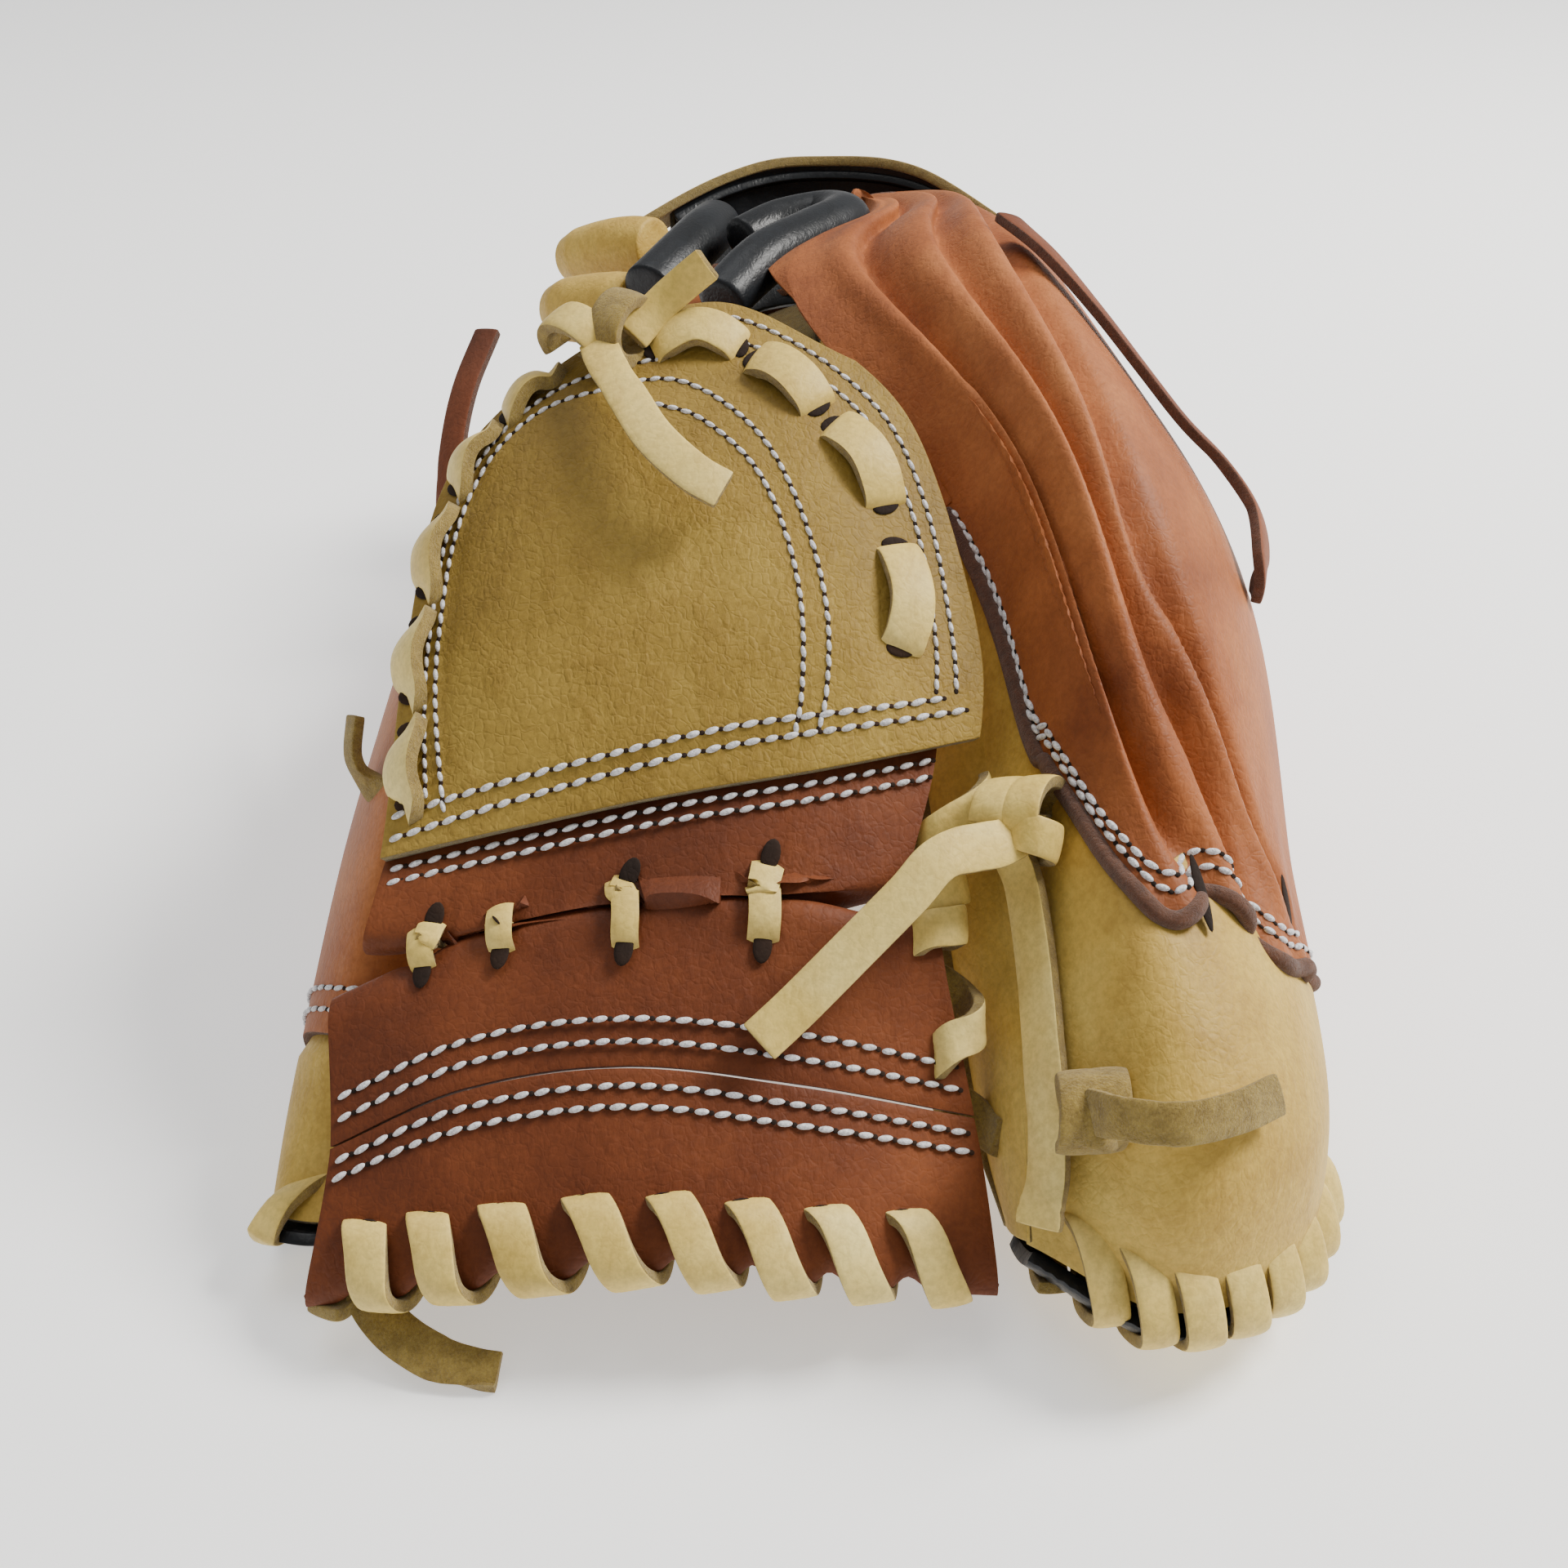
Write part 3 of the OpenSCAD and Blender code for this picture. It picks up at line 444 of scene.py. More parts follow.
def seam_rows(name, rows, ups, pitch=3.0, length=2.35, width=0.95, sunk=0.22):
    """One piece of thread: plump stitches along each path, with needle holes as dark ovals of painted shade.
    """
    whole = bmesh.new()
    mesh = bpy.data.meshes.new(name)
    bm = bmesh.new()

    def bead(c, x, u, size, tilt, dark):
        """One stitch, or the painted shade of its needle hole, as a small oval."""
        y = unit(np.cross(u, x))
        z = np.cross(x, y)
        m = Matrix(((x[0], y[0], z[0], 0), (x[1], y[1], z[1], 0), (x[2], y[2], z[2], 0), (0, 0, 0, 1)))
        place = Matrix.Translation(Vector((c + z * size[3]) * MM)) @ m @ Matrix.Rotation(tilt, 4, "Z")
        shape = (Matrix.Diagonal((size[0] * MM, size[1] * MM, size[2] * MM,
                                  1)) @ Matrix.Rotation(math.pi / 2, 4, "Y"))
        made = bmesh.ops.create_uvsphere(bm, u_segments=8, v_segments=8 if not dark else 5, radius=1,
                                         matrix=place @ shape)
        for face in {face for v in made["verts"] for face in v.link_faces}:
            face.material_index = 1 if dark else 0

    for path, up in zip(rows, ups):
        path, up = np.array(path, float), unit(np.array(up, float))
        d = np.concatenate([[0], np.cumsum(np.linalg.norm(np.diff(path, axis=0), axis=1))])
        n = max(int(d[-1] / pitch), 1)
        at = (np.arange(n) + 0.5) * d[-1] / n
        rng = np.random.default_rng(n)
        for count, a in enumerate(at):
            if count % 12 == 0:
                bm.to_mesh(mesh)
                whole.from_mesh(mesh)
                bm.clear()
            length_now = length * (1 + 0.06 * rng.standard_normal())
            p = np.array([np.interp(a - length_now / 2, d, path[:, k]) for k in range(3)])
            q = np.array([np.interp(a + length_now / 2, d, path[:, k]) for k in range(3)])
            u = np.array([np.interp(a, d, up[:, k]) for k in range(3)])
            x = unit(q - p)
            bead((p + q) / 2, x, u, (length_now / 2, width / 2, width / 2, width * 0.34 - sunk),
                 0.16 + 0.04 * rng.standard_normal(), False)
            bead(q + x * (pitch - length) / 2, x, u, (0.5, 0.42, 0.16, 0.02), 0.0, True)
        bm.to_mesh(mesh)
        whole.from_mesh(mesh)
        bm.clear()
    bm.free()
    for f in whole.faces:
        f.smooth = True
    whole.to_mesh(mesh)
    whole.free()
    mesh.materials.append(thread)
    mesh.materials.append(hole_painted_shade)
    ob = bpy.data.objects.new(name, mesh)
    bpy.context.scene.collection.objects.link(ob)
    return ob


back_stitches = seam_rows("back_stitches", rows, ups, pitch=2.9, length=2.35, width=1.1)
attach(back_stitches, MITT)


# ---- turned edge of the back -------------------------------------------
# The cut edge of the panel is skived, turned under and glued before it is
# sewn. It shows as a dark raised roll, slit at two places between its lobes.
welt_t = np.linspace(0.0, foot_t, 150)
welt_path = deep(FO, FI, back_place(0 * welt_t - 0.002, welt_t), welt_t,
                 back_depth(0 * welt_t, welt_t) + 0.6)


def suede(name, dark, light):
    """The fuzzy cut side of leather or lace, or pressed felt."""
    m, nt, bsdf = new_material(name, 0.95, 0.3)
    obj = nt.nodes.new("ShaderNodeTexCoord").outputs["Object"]
    fuzz = noise(nt, obj, 2400, 4, 0.8)
    lumps = noise(nt, obj, 420, 3, 0.7)
    colour = blend_colour(nt, ramp(nt, fuzz, [(0.3, dark), (0.65, light)]),
                          ramp(nt, lumps, [(0.3, dark), (0.7, light)]), 0.5)
    nt.links.new(colour, bsdf.inputs["Base Color"])
    nt.links.new(bump(nt, fuzz, 0.9, 0.0007, bump(nt, lumps, 0.5, 0.0008)), bsdf.inputs["Normal"])
    return m


red_suede = suede("red_suede", (0.06, 0.02, 0.008), (0.20, 0.075, 0.032))


def tube_piece(name, path, radius, mat, n, ring, flat=1.0):
    """A stuffed roll or a turned edge: a closed tube along a smooth path."""
    path = spline(path, np.linspace(0, 1, n))
    if np.ndim(radius):
        radius = np.interp(np.linspace(0, 1, n), np.linspace(0, 1, len(radius)), radius)
    else:
        radius = np.full(n, float(radius))
    ahead = unit(np.gradient(path, axis=0))
    a = unit(np.cross(ahead, np.array([0.1, 0.2, 1.0])))
    b = np.cross(ahead, a)
    k = np.linspace(0, 2 * math.pi, ring + 1)
    pts = (path[:, None] + radius[:, None, None]
           * (a[:, None] * np.cos(k)[None, :, None] + b[:, None] * np.sin(k)[None, :, None] * flat))
    capped = np.concatenate([np.repeat(path[:1, None], ring + 1, 1), pts,
                             np.repeat(path[-1:, None], ring + 1, 1)], 0)
    mesh = grid_mesh(name, capped, closed=True)
    ob = bpy.data.objects.new(name, mesh)
    bm = bmesh.new()
    bm.from_mesh(mesh)
    bmesh.ops.recalc_face_normals(bm, faces=bm.faces)
    bm.to_mesh(mesh)
    bm.free()
    bpy.context.scene.collection.objects.link(ob)
    mesh.materials.append(mat)
    s = ob.modifiers.new("smooth", "SUBSURF")
    s.levels = 1
    s.render_levels = 1
    return ob


back_welt = tube_piece("back_welt", welt_path, 1.55, red_suede, n=260, ring=12)
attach(back_welt, MITT)
slits = []
for (s0, t0), (s1, t1) in (((0.305, 0.343), (0.268, 0.354)), ((0.315, 0.568), (0.277, 0.556))):
    a, b = (deep(FO, FI, np.array(ss), np.array(q), np.array(-0.35)) for ss, q in ((s0, t0), (s1, t1)))
    slits.append(((a + b) / 2, b - a, finger_up(np.array((s0 + s1) / 2), np.array((t0 + t1) / 2)),
                  np.linalg.norm(b - a) / 2, 1.1))


def holes_piece(name, spots):
    """Punched holes: dark ovals of painted shade where a lace goes into the leather."""
    bm = bmesh.new()
    for c, x, u, long_r, wide_r in spots:
        x = unit(np.asarray(x, float))
        y = unit(np.cross(u, x))
        z = np.cross(x, y)
        m = Matrix(((x[0], y[0], z[0], 0), (x[1], y[1], z[1], 0), (x[2], y[2], z[2], 0), (0, 0, 0, 1)))
        oval = Matrix.Diagonal((long_r * MM, wide_r * MM, 0.35 * MM, 1))
        place = Matrix.Translation(Vector(c * MM)) @ m @ oval
        bmesh.ops.create_uvsphere(bm, u_segments=16, v_segments=8, radius=1, matrix=place)
    for f in bm.faces:
        f.smooth = True
    mesh = bpy.data.meshes.new(name)
    bm.to_mesh(mesh)
    bm.free()
    mesh.materials.append(hole_painted_shade)
    ob = bpy.data.objects.new(name, mesh)
    bpy.context.scene.collection.objects.link(ob)
    return ob


# The two slits in the turned edge are dark ovals of painted shade.
back_slit_shade = holes_piece("back_slit_shade", slits)
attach(back_slit_shade, MITT)


# ---- fingertips --------------------------------------------------------
# Smooth blond leather pulled tight over the ends of the fingers. It runs in
# under the red panel and is caught in the same two seams.
f = np.linspace(0, 1, 60)[:, None]
t = np.linspace(0, foot_t, 120)[None, :]
s_tip = 0.026 + (seam_s(t) + 0.03 - 0.026) * f
tip_depth = 0.6 + 1.9 * np.clip((f - 0.86) / 0.10, 0, 1) + 0.5 * np.sin(9 * t) * (1 - f) + 0 * f
tip_pts = deep(FO, FI, s_tip, t + 0 * f, tip_depth)

blond = leather("blond_leather", (0.44, 0.27, 0.05), (0.64, 0.425, 0.088), (0.80, 0.59, 0.16), rough=0.56)
blond_suede = suede("blond_suede", (0.12, 0.08, 0.018), (0.38, 0.27, 0.075))

fingertip_leather = sheet_piece("fingertip_leather", tip_pts, 2.2, [blond, blond_suede])
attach(fingertip_leather, MITT)
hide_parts("fingertip_panel")


# ---- side of the index finger ------------------------------------------
# A narrow strip of blond leather that closes the index finger between the
# back and the palm, where the web is laced on.
s = np.linspace(0.03, 0.62, 60)[:, None]
w = np.linspace(0.02, 0.98, 10)[None, :]
outer, inner = net(FO, s + 0 * w, 0.006), net(FI, s + 0 * w, 0.006)
side_pts = (outer + (inner - outer) * w[..., None]
            + 0.9 * np.sin(math.pi * w)[..., None] * np.array([-1.0, -0.3, 0.2]))
index_side = sheet_piece("index_side", side_pts, 1.8, [blond, blond_suede], out=(-1, -0.4, 0.2), sub=1)
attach(index_side, MITT)
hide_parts("index_side_panel")


# ---- palm --------------------------------------------------------------
# The catching side is one heavy blond hide. It runs under the fingers and
# bridges the heel to the thumb.
s = np.linspace(0.03, 0.975, 70)[:, None]
t = np.linspace(0, foot_t, 60)[None, :]
crease = 0.8 * np.exp(-((t - 0.45 + 0.25 * s) / 0.03) ** 2) + 0.5 * np.sin(18 * s) * 0.4
palm_pts = deep(FO, FI, s + 0 * t, t + 0 * s, -0.15 - crease, 1.0)
palm_leather = sheet_piece("palm_leather", palm_pts, 2.4, [blond, blond_suede], out=(-0.2, -0.2, -1))
s = np.linspace(0.51, 0.975, 40)[:, None]
c = np.linspace(-0.02, 1.02, 30)[None, :]
finger_side = deep(FO, FI, s[:, 0], 0, -0.3, 1.0)[:, None]

axis_a = np.array([-72, -134, 7.0]) + CENTRE
axis_b = np.array([-58, -35, 84.0]) + CENTRE
axis_d = unit(axis_b - axis_a)
cut_at = axis_d @ (np.array([-57, -26, 88]) + CENTRE)


def on_cut(x, z):
    """A point on the plane where the thumb is cut from the hand."""
    q = np.array([x, 0, z]) + CENTRE
    q[1] = (cut_at - axis_d[0] * q[0] - axis_d[2] * q[2]) / axis_d[1]
    return q - CENTRE


thumb_out = np.array([
    [[-62,-121,6], [-67,-125,8], [-73,-127,9], [-80,-125,8], [-82,-117,0]],
    [[-58,-98,13], [-63,-102,20], [-72,-102,23], [-81,-94,17], [-84,-84,0]],
    [[-50,-62,38], [-56,-66,46], [-66,-66,50], [-78,-50,34], [-83,-30,0]],
    [on_cut(-40, 60), on_cut(-50, 72), on_cut(-61, 74), on_cut(-71, 50), on_cut(-78, 0)],
    [[-18,28,88], [-36,28,84], [-52,34,72], [-67,46,44], [-75,66,0]],
    [[-14,80,80], [-30,80,77], [-43,82,66], [-60,84,42], [-72,92,0]],
    [[-16,124,76], [-29,124,74], [-41,124,64], [-56,124,40], [-67,124,0]]], float)
thumb_in = np.array([
    [[-60,-115,4], [-62,-116,4], [-66,-116,3], [-70,-114,2], [-73,-109,0]],
    [[-52,-90,11], [-54,-90,11], [-59,-88,9], [-66,-84,5], [-72,-78,0]],
    [[-40,-54,32], [-43,-53,29], [-48,-50,24], [-57,-42,12], [-70,-27,0]],
    [on_cut(-28, 52), on_cut(-33, 48), on_cut(-40, 40), on_cut(-50, 22), on_cut(-65, 0)],
    [[-10,30,66], [-20,31,62], [-31,34,51], [-44,44,28], [-61,64,0]],
    [[-6,80,64], [-17,80,59], [-28,82,47], [-42,84,26], [-58,90,0]],
    [[-8,124,60], [-16,124,55], [-26,124,44], [-38,124,24], [-53,124,0]]], float)
TO, TI = pads(thumb_out + CENTRE), pads(thumb_in + CENTRE)

thumb_side_edge = deep(TO, TI, s[:, 0], 0, -0.3, 1.0)[:, None]
bridge_pts = finger_side + (thumb_side_edge - finger_side) * c[..., None]
palm_bridge = sheet_piece("palm_bridge", bridge_pts, 2.4, [blond, blond_suede], out=(0, 0, -1))
for m in (palm_leather, palm_bridge):
    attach(m, MITT)
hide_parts("palm_shell")
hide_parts("palm_shell")


# ---- felt pad of the palm ----------------------------------------------
# Pressed wool felt between the palm leather and the lining, thick in the
# middle and thin at its edges. It is laid in loose.

def pad_piece(name, go, gi, s0, s1, t0, t1, near, far, mat):
    """A quilted felt pad between two depths, crowned in the middle."""
    s = np.linspace(s0, s1, 26)[:, None]
    t = np.linspace(t0, t1, 22)[None, :]
    crown = (np.sin(math.pi * (s - s0) / (s1 - s0)) * np.sin(math.pi * (t - t0) / (t1 - t0))) ** 0.35
    lo = deep(go, gi, s + 0 * t, t + 0 * s, *far)
    hi = deep(go, gi, s + 0 * t, t + 0 * s, *near)
    mid = (lo + hi) / 2
    hi = mid + (hi - mid) * crown[..., None]
    lo = mid + (lo - mid) * crown[..., None]
    ring = np.concatenate([hi, lo[::-1], hi[:1]], 0)
    mesh = grid_mesh(name, ring, closed=True)
    ob = bpy.data.objects.new(name, mesh)
    bpy.context.scene.collection.objects.link(ob)
    bm = bmesh.new()
    bm.from_mesh(mesh)
    bmesh.ops.holes_fill(bm, edges=[e for e in bm.edges if e.is_boundary], sides=0)
    bmesh.ops.recalc_face_normals(bm, faces=bm.faces)
    bm.to_mesh(mesh)
    bm.free()
    mesh.materials.append(mat)
    return ob


felt = suede("felt", (0.45, 0.43, 0.36), (0.75, 0.72, 0.62))

palm_felt = pad_piece("palm_felt", FO, FI, 0.16, 0.94, 0.06, 0.85, (1.4, 0.68), (-4.4, 1.0), felt)
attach(palm_felt, MITT)
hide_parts("palm_pad")


# ---- inside of the hand ------------------------------------------------
# Soft black lining leather under the back, with walls of the same leather
# sewn in between the finger stalls.
s = np.linspace(0.33, 0.965, 50)[:, None]
t = np.linspace(0.10, 0.9, 60)[None, :]
lining_pts = deep(FO, FI, s + 0 * t, t + 0 * s, 12.0 + 0.5 * np.sin(30 * t) * np.cos(9 * s))

black = leather("black_lining", (0.006, 0.007, 0.008), (0.012, 0.014, 0.017), (0.024, 0.027, 0.032),
                rough=0.38, grain=0.35, crease=0.5, sheen=0.0)

lining = sheet_piece("lining", lining_pts, 1.2, [black])
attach(lining, MITT)
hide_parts("finger_lining")
walls = []
for k, row in enumerate(pleat_rows):
    f = np.linspace(0.12, 0.5, 24)
    s = 0.28 + (0.975 - 0.28) * f
    t = spline(row, f) + 0.01
    top = deep(FO, FI, s, t, 13.0)
    low = deep(FO, FI, s, t, 0.4, 0.68)
    w = np.linspace(0, 1, 8)[None, :, None]
    walls.append(sheet_piece("stall_wall_%d" % k, top[:, None] + (low - top)[:, None] * w, 1.6, [black],
                             out=(1, 0, 0), offset=0))


def join(name, obs):
    """Makes several meshes one piece."""
    keep = obs[0]
    with bpy.context.temp_override(active_object=keep, selected_editable_objects=obs,
                                   selected_objects=obs, object=keep):
        bpy.ops.object.join()
    keep.name = name
    return keep


stall_walls = join("stall_walls", walls)
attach(stall_walls, MITT)
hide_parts("finger_stalls")


# ---- black binding of the fingertips -----------------------------------
# A strip of black glazed leather folded over the edge of back and palm, and
# held by the lace that is whipped over it.

def edge_band(go, gi, s, t, lip, bulge):
    """A rounded strip that wraps an edge from the outer to the inner side."""
    w = np.linspace(0, 1, 22)
    outer, inner = net(go, s, t), net(gi, s, t)
    p = outer[:, None] + (inner - outer)[:, None] * w[None, :, None]
    p = p + lip[:, None] * (bulge * np.sin(math.pi * w) ** 0.6)[None, :, None]
    p[..., 2] = np.maximum(p[..., 2], 0.05)
    return p


t_line = np.linspace(0.0, foot_t, 90)
lip = unit(deep(FO, FI, 0.0, t_line, 0, 0.5) - deep(FO, FI, 0.05, t_line, 0, 0.5))
band = edge_band(FO, FI, 0.006, t_line, lip, 1.6)
band = band + 0.15 * np.sin(t_line * 260)[:, None, None] * lip[:, None]
tip_binding = sheet_piece("tip_binding", band, 2.2, [black], out=(0, -1, 0.2))
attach(tip_binding, MITT)
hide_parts("fingertip_binding")


# ---- red bindings of the finger side -----------------------------------
# Strips of red leather folded over the raw edges, down the little finger
# and round the open heel, and sewn through.

def foot_band(go, gi):
    """The strip folded round the lower edge, from the tip to the wrist."""
    s = np.linspace(0.01, 0.975, 110)
    w = np.linspace(0, 1, 22)
    down = unit(deep(go, gi, s, 1.0, 0, 0.5) - deep(go, gi, s, 0.93, 0, 0.5))
    outer = deep(go, gi, s, 0.955, -0.5)
    inner = deep(go, gi, s, 0.955, 0.5, 1.0)
    p = outer[:, None] + (inner - outer)[:, None] * w[None, :, None]
    p = p + down[:, None] * (7 * np.sin(math.pi * w) ** 0.45)[None, :, None]
    p[..., 2] = np.maximum(p[..., 2], 0.05)
    return p


pinky_binding = sheet_piece("pinky_binding", foot_band(FO, FI), 1.8, [red, red_suede], out=(0.3, 0, -1))
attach(pinky_binding, MITT)
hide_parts("pinky_edge_binding")


def heel_row(s, inner):
    """Points round the open heel: little finger side, gap, thumb side."""
    share, mm = (1.0, 0.6) if inner else (0.0, -0.6)
    gap_mm = 0.6 if inner else -8.0
    finger_side = deep(FO, FI, s, np.linspace(1, 0, 50), mm, share)
    thumb_edge = deep(TO, TI, s, np.linspace(0, 1, 50), mm, share)
    gap_from, gap_to = deep(FO, FI, s, 0.0, gap_mm, 1.0), deep(TO, TI, s, 0.0, gap_mm, 1.0)
    c = np.linspace(0, 1, 14)[1:-1, None]
    return np.concatenate([finger_side, gap_from + (gap_to - gap_from) * c, thumb_edge], 0)


outer_row, inner_row = heel_row(0.985, False), heel_row(0.985, True)
back_dir = unit(heel_row(1.0, False) - heel_row(0.97, False))
w = np.linspace(0, 1, 18)
band = (outer_row[:, None] + (inner_row - outer_row)[:, None] * w[None, :, None]
        + back_dir[:, None] * (2.6 * np.sin(math.pi * w) ** 0.6)[None, :, None])
band[..., 2] = np.maximum(band[..., 2], 0.05)
heel_wrap = sheet_piece("heel_wrap", band, 1.8, [red, red_suede], out=(0, 1, 0))
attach(heel_wrap, MITT)
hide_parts("heel_binding")


# ---- half-moon of the web ----------------------------------------------
# Two layers of stiff leather with a thin pad between, blond outside and red
# inside, sewn together round the arch and across the base.

def arch_v(u):
    """The top edge of the half-moon."""
    return 1 - 0.05 * np.abs(2 * u - 1) ** 3


f = np.linspace(0, 1, 90)[:, None]
u = np.linspace(0, 1, 100)[None, :]
v = 0.556 + (arch_v(u) - 0.556) * f


def top_h(u, v):
    """Height of the face of the half-moon: padded in the middle, a little wavy."""
    across = np.clip(np.sin(math.pi * np.clip((u - 0.12) / 0.72, 0, 1)), 0, 1) ** 0.5
    along = np.clip(np.sin(math.pi * np.clip((v - 0.60) / 0.31, 0, 1)), 0, 1) ** 0.5
    return 4.0 + 1.3 * across * along + 0.5 * np.sin(9 * u + 5 * v) * np.sin(7 * v)


# Blond leather of the half-moon face, made about half as bright as the blond of the fingers: painted shade.
panel = leather("moon_blond_painted_shade", (0.19, 0.115, 0.017), (0.30, 0.19, 0.031), (0.42, 0.28, 0.055),
                grain=1.0, crease=0.8)
web_rows = np.array([
    [[-71,-136,8], [-48,-137,13], [-19,-137,17], [6,-137,14], [32,-134,8]],
    [[-68,-120,23], [-48,-115,30], [-24,-114,34], [2,-115,31], [29,-114,23]],
    [[-70,-98,35], [-46,-93,43], [-22,-93,47], [3,-93,47], [24,-94,42]],
    [[-66,-93,39], [-44,-91,44], [-22,-90,48], [3,-89,49], [24,-83,48]],
    [[-63,-80,50], [-40,-79,56], [-16,-77,61], [7,-73,63], [31,-65,63]],
    [[-61,-54,69], [-43,-58,73], [-17,-59,76], [7,-56,77], [30,-48,75]],
    [[-56,-28,87], [-39,-30,94], [-15,-33,95], [3,-30,96], [21,-23,95]],
    [[-39,-9,101], [-29,-8,105], [-16,-5,109], [-6,-5,109], [6,-9,105]]], float)
WB = pads(web_rows + CENTRE)


def web(u, v, h):
    """Points of the web: u across, v from its tip, h above the middle."""
    u, v, h = np.broadcast_arrays(np.asarray(u, float), np.asarray(v, float), np.asarray(h, float))
    e = 0.02
    du = net(WB, v, np.minimum(u + e, 1)) - net(WB, v, np.maximum(u - e, 0))
    dv = net(WB, np.minimum(v + e, 1), u) - net(WB, np.maximum(v - e, 0), u)
    return net(WB, v, u) + unit(np.cross(du, dv)) * h[..., None]


moon = sheet_piece("moon_panel", web(u + 0 * f, v, top_h(u, v)), 2.5, [panel, blond_suede])
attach(moon, MITT)
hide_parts("web_panel_outer")
v2 = 0.585 + (arch_v(u) - 0.585) * f
wave = 0.5 * np.sin(9 * u + 5 * v) * np.sin(7 * v)
under = sheet_piece("moon_under", web(0.004 + 0.992 * u + 0 * f, v2, 1.2 + wave * 0.5), 2.4,
                    [red_suede, red], out=(0, -0.6, 0.7))
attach(under, MITT)
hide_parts("web_panel_inner")


def web_up(u, v):
    """Directions off the face of the web."""
    return unit(web(u, v, 1.0) - web(u, v, 0.0))


def web_path(u, v, h=0.0):
    """A line on the face of the half-moon, with the directions off it."""
    return web(u, v, top_h(u, v) + h), web_up(u, v)


outer_row = [[0.36, 0.995], [0.61, 0.985], [0.78, 0.968], [0.885, 0.935], [0.94, 0.87], [0.957, 0.79],
             [0.95, 0.70], [0.95, 0.613]]
second_row = [[0.36, 0.965], [0.60, 0.958], [0.75, 0.94], [0.85, 0.905], [0.905, 0.85], [0.925, 0.78],
              [0.92, 0.70], [0.915, 0.617]]
inner_arch = [[0.11, 0.585], [0.095, 0.66], [0.088, 0.74], [0.092, 0.80], [0.125, 0.853], [0.205, 0.893],
              [0.325, 0.913], [0.43, 0.923],
              [0.53, 0.908], [0.645, 0.862], [0.71, 0.80], [0.74, 0.727], [0.735, 0.64], [0.725, 0.60]]
third_row = [[0.075, 0.60], [0.068, 0.66], [0.062, 0.74], [0.068, 0.81], [0.10, 0.868], [0.19, 0.915],
             [0.32, 0.938], [0.44, 0.945]]
twin_row = [[0.42, 0.897], [0.515, 0.882], [0.62, 0.84], [0.675, 0.79], [0.70, 0.727], [0.695, 0.64],
            [0.685, 0.597]]
rows, ups = [], []
for line, step in ((outer_row, 200), (second_row, 200), (inner_arch, 300), (third_row, 200),
                   (twin_row, 200)):
    q = spline(line, np.linspace(0, 1, step))
    p, n = web_path(q[:, 0], q[:, 1])
    rows.append(p)
    ups.append(n)
arch_stitches = seam_rows("arch_stitches", rows, ups, pitch=2.45, length=1.95, width=0.85)
rows, ups = [], []
for line in ([[0.01, 0.592], [0.33, 0.607], [0.62, 0.617], [0.93, 0.607]],
             [[0.01, 0.572], [0.33, 0.588], [0.62, 0.598], [0.97, 0.588]]):
    q = spline(line, np.linspace(0, 1, 200))
    p, n = web_path(q[:, 0], q[:, 1])
    rows.append(p)
    ups.append(n)
moon_stitches = join("moon_stitches", [arch_stitches, seam_rows("base_stitches", rows, ups, pitch=3.05,
                                                                length=2.45, width=1.1)])
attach(moon_stitches, MITT)


# ---- bars and tip strip of the web -------------------------------------
# Two bars rolled from red leather and a red strip at the tip. The first bar
# is sewn under the half-moon, and the second is sewn to the strip.
u = np.linspace(0, 0.935, 110)[None, :]
k = np.linspace(0, 1, 40)[:, None]
bar_v = spline([0.575, 0.545, 0.50, 0.44, 0.405, 0.400, 0.43, 0.50, 0.565], k[:, 0])[:, None]
reach_down = spline([0.43, 0.385, 0.350, 0.338, 0.335, 0.342, 0.375, 0.425], u[0])[None, :]
bar_v = 0.575 - (0.575 - bar_v) * (0.575 - reach_down) / 0.175
bar_h = spline([0.4, 1.8, 3.0, 3.6, 1.8, -1.2, -3.4, -3.9, -3.4], k[:, 0])[:, None]


def pinched(u):
    """Where the four ties draw the rolled leather in."""
    pinch = 0.0
    for uc in (0.14, 0.275, 0.475, 0.685):
        pinch = pinch + np.exp(-((u - uc) / 0.024) ** 2)
    return pinch


bulge_k = np.exp(-((k - 0.5) / 0.25) ** 2)
bar_v = bar_v + 0.010 * pinched(u) * bulge_k
bar_h = bar_h - 0.7 * pinched(u) * bulge_k + 0.25 * np.sin(11 * u + 3 * k)

# Red leather of the bars and tip strip, darker than the red of the back: partly its own darker tone, partly
# painted shade.
web_red_dark_and_shaded = leather("web_red_dark_and_shaded_leather", (0.085, 0.019, 0.005), (0.155, 0.037, 0.009), (0.24, 0.066, 0.017),
                  rough=0.6)

bar_lower = sheet_piece("bar_lower", web(u + 0 * k, bar_v, bar_h), 2.0, [web_red_dark_and_shaded], out=(0, -0.3, 0.3))
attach(bar_lower, MITT)
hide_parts("web_bar_lower")

u = np.linspace(0, 1, 120)[None, :]
k = np.linspace(0, 1, 40)[:, None]
bar_v = spline([0.150, 0.19, 0.235, 0.27, 0.297, 0.295, 0.26, 0.20, 0.16], k[:, 0])[:, None]
reach_up = spline([0.278, 0.285, 0.296, 0.308, 0.315, 0.318, 0.305, 0.315], u[0])[None, :]
bar_v = 0.15 + (bar_v - 0.15) * (reach_up - 0.15) / 0.147
bar_h = spline([1.2, 1.6, 2.2, 2.6, 1.4, -1.4, -2.8, -1.8, -1.2], k[:, 0])[:, None]
bar_v = bar_v - 0.010 * pinched(u) * np.exp(-((k - 0.5) / 0.25) ** 2)
bar_h = bar_h - 0.4 * pinched(u) * np.exp(-((k - 0.4) / 0.2) ** 2) + 0.3 * np.sin(9 * u + 4 * k)
bar_upper = sheet_piece("bar_upper", web(u + 0 * k, bar_v, bar_h), 2.0, [web_red_dark_and_shaded], out=(0, -0.3, 0.3))
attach(bar_upper, MITT)
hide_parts("web_bar_upper")

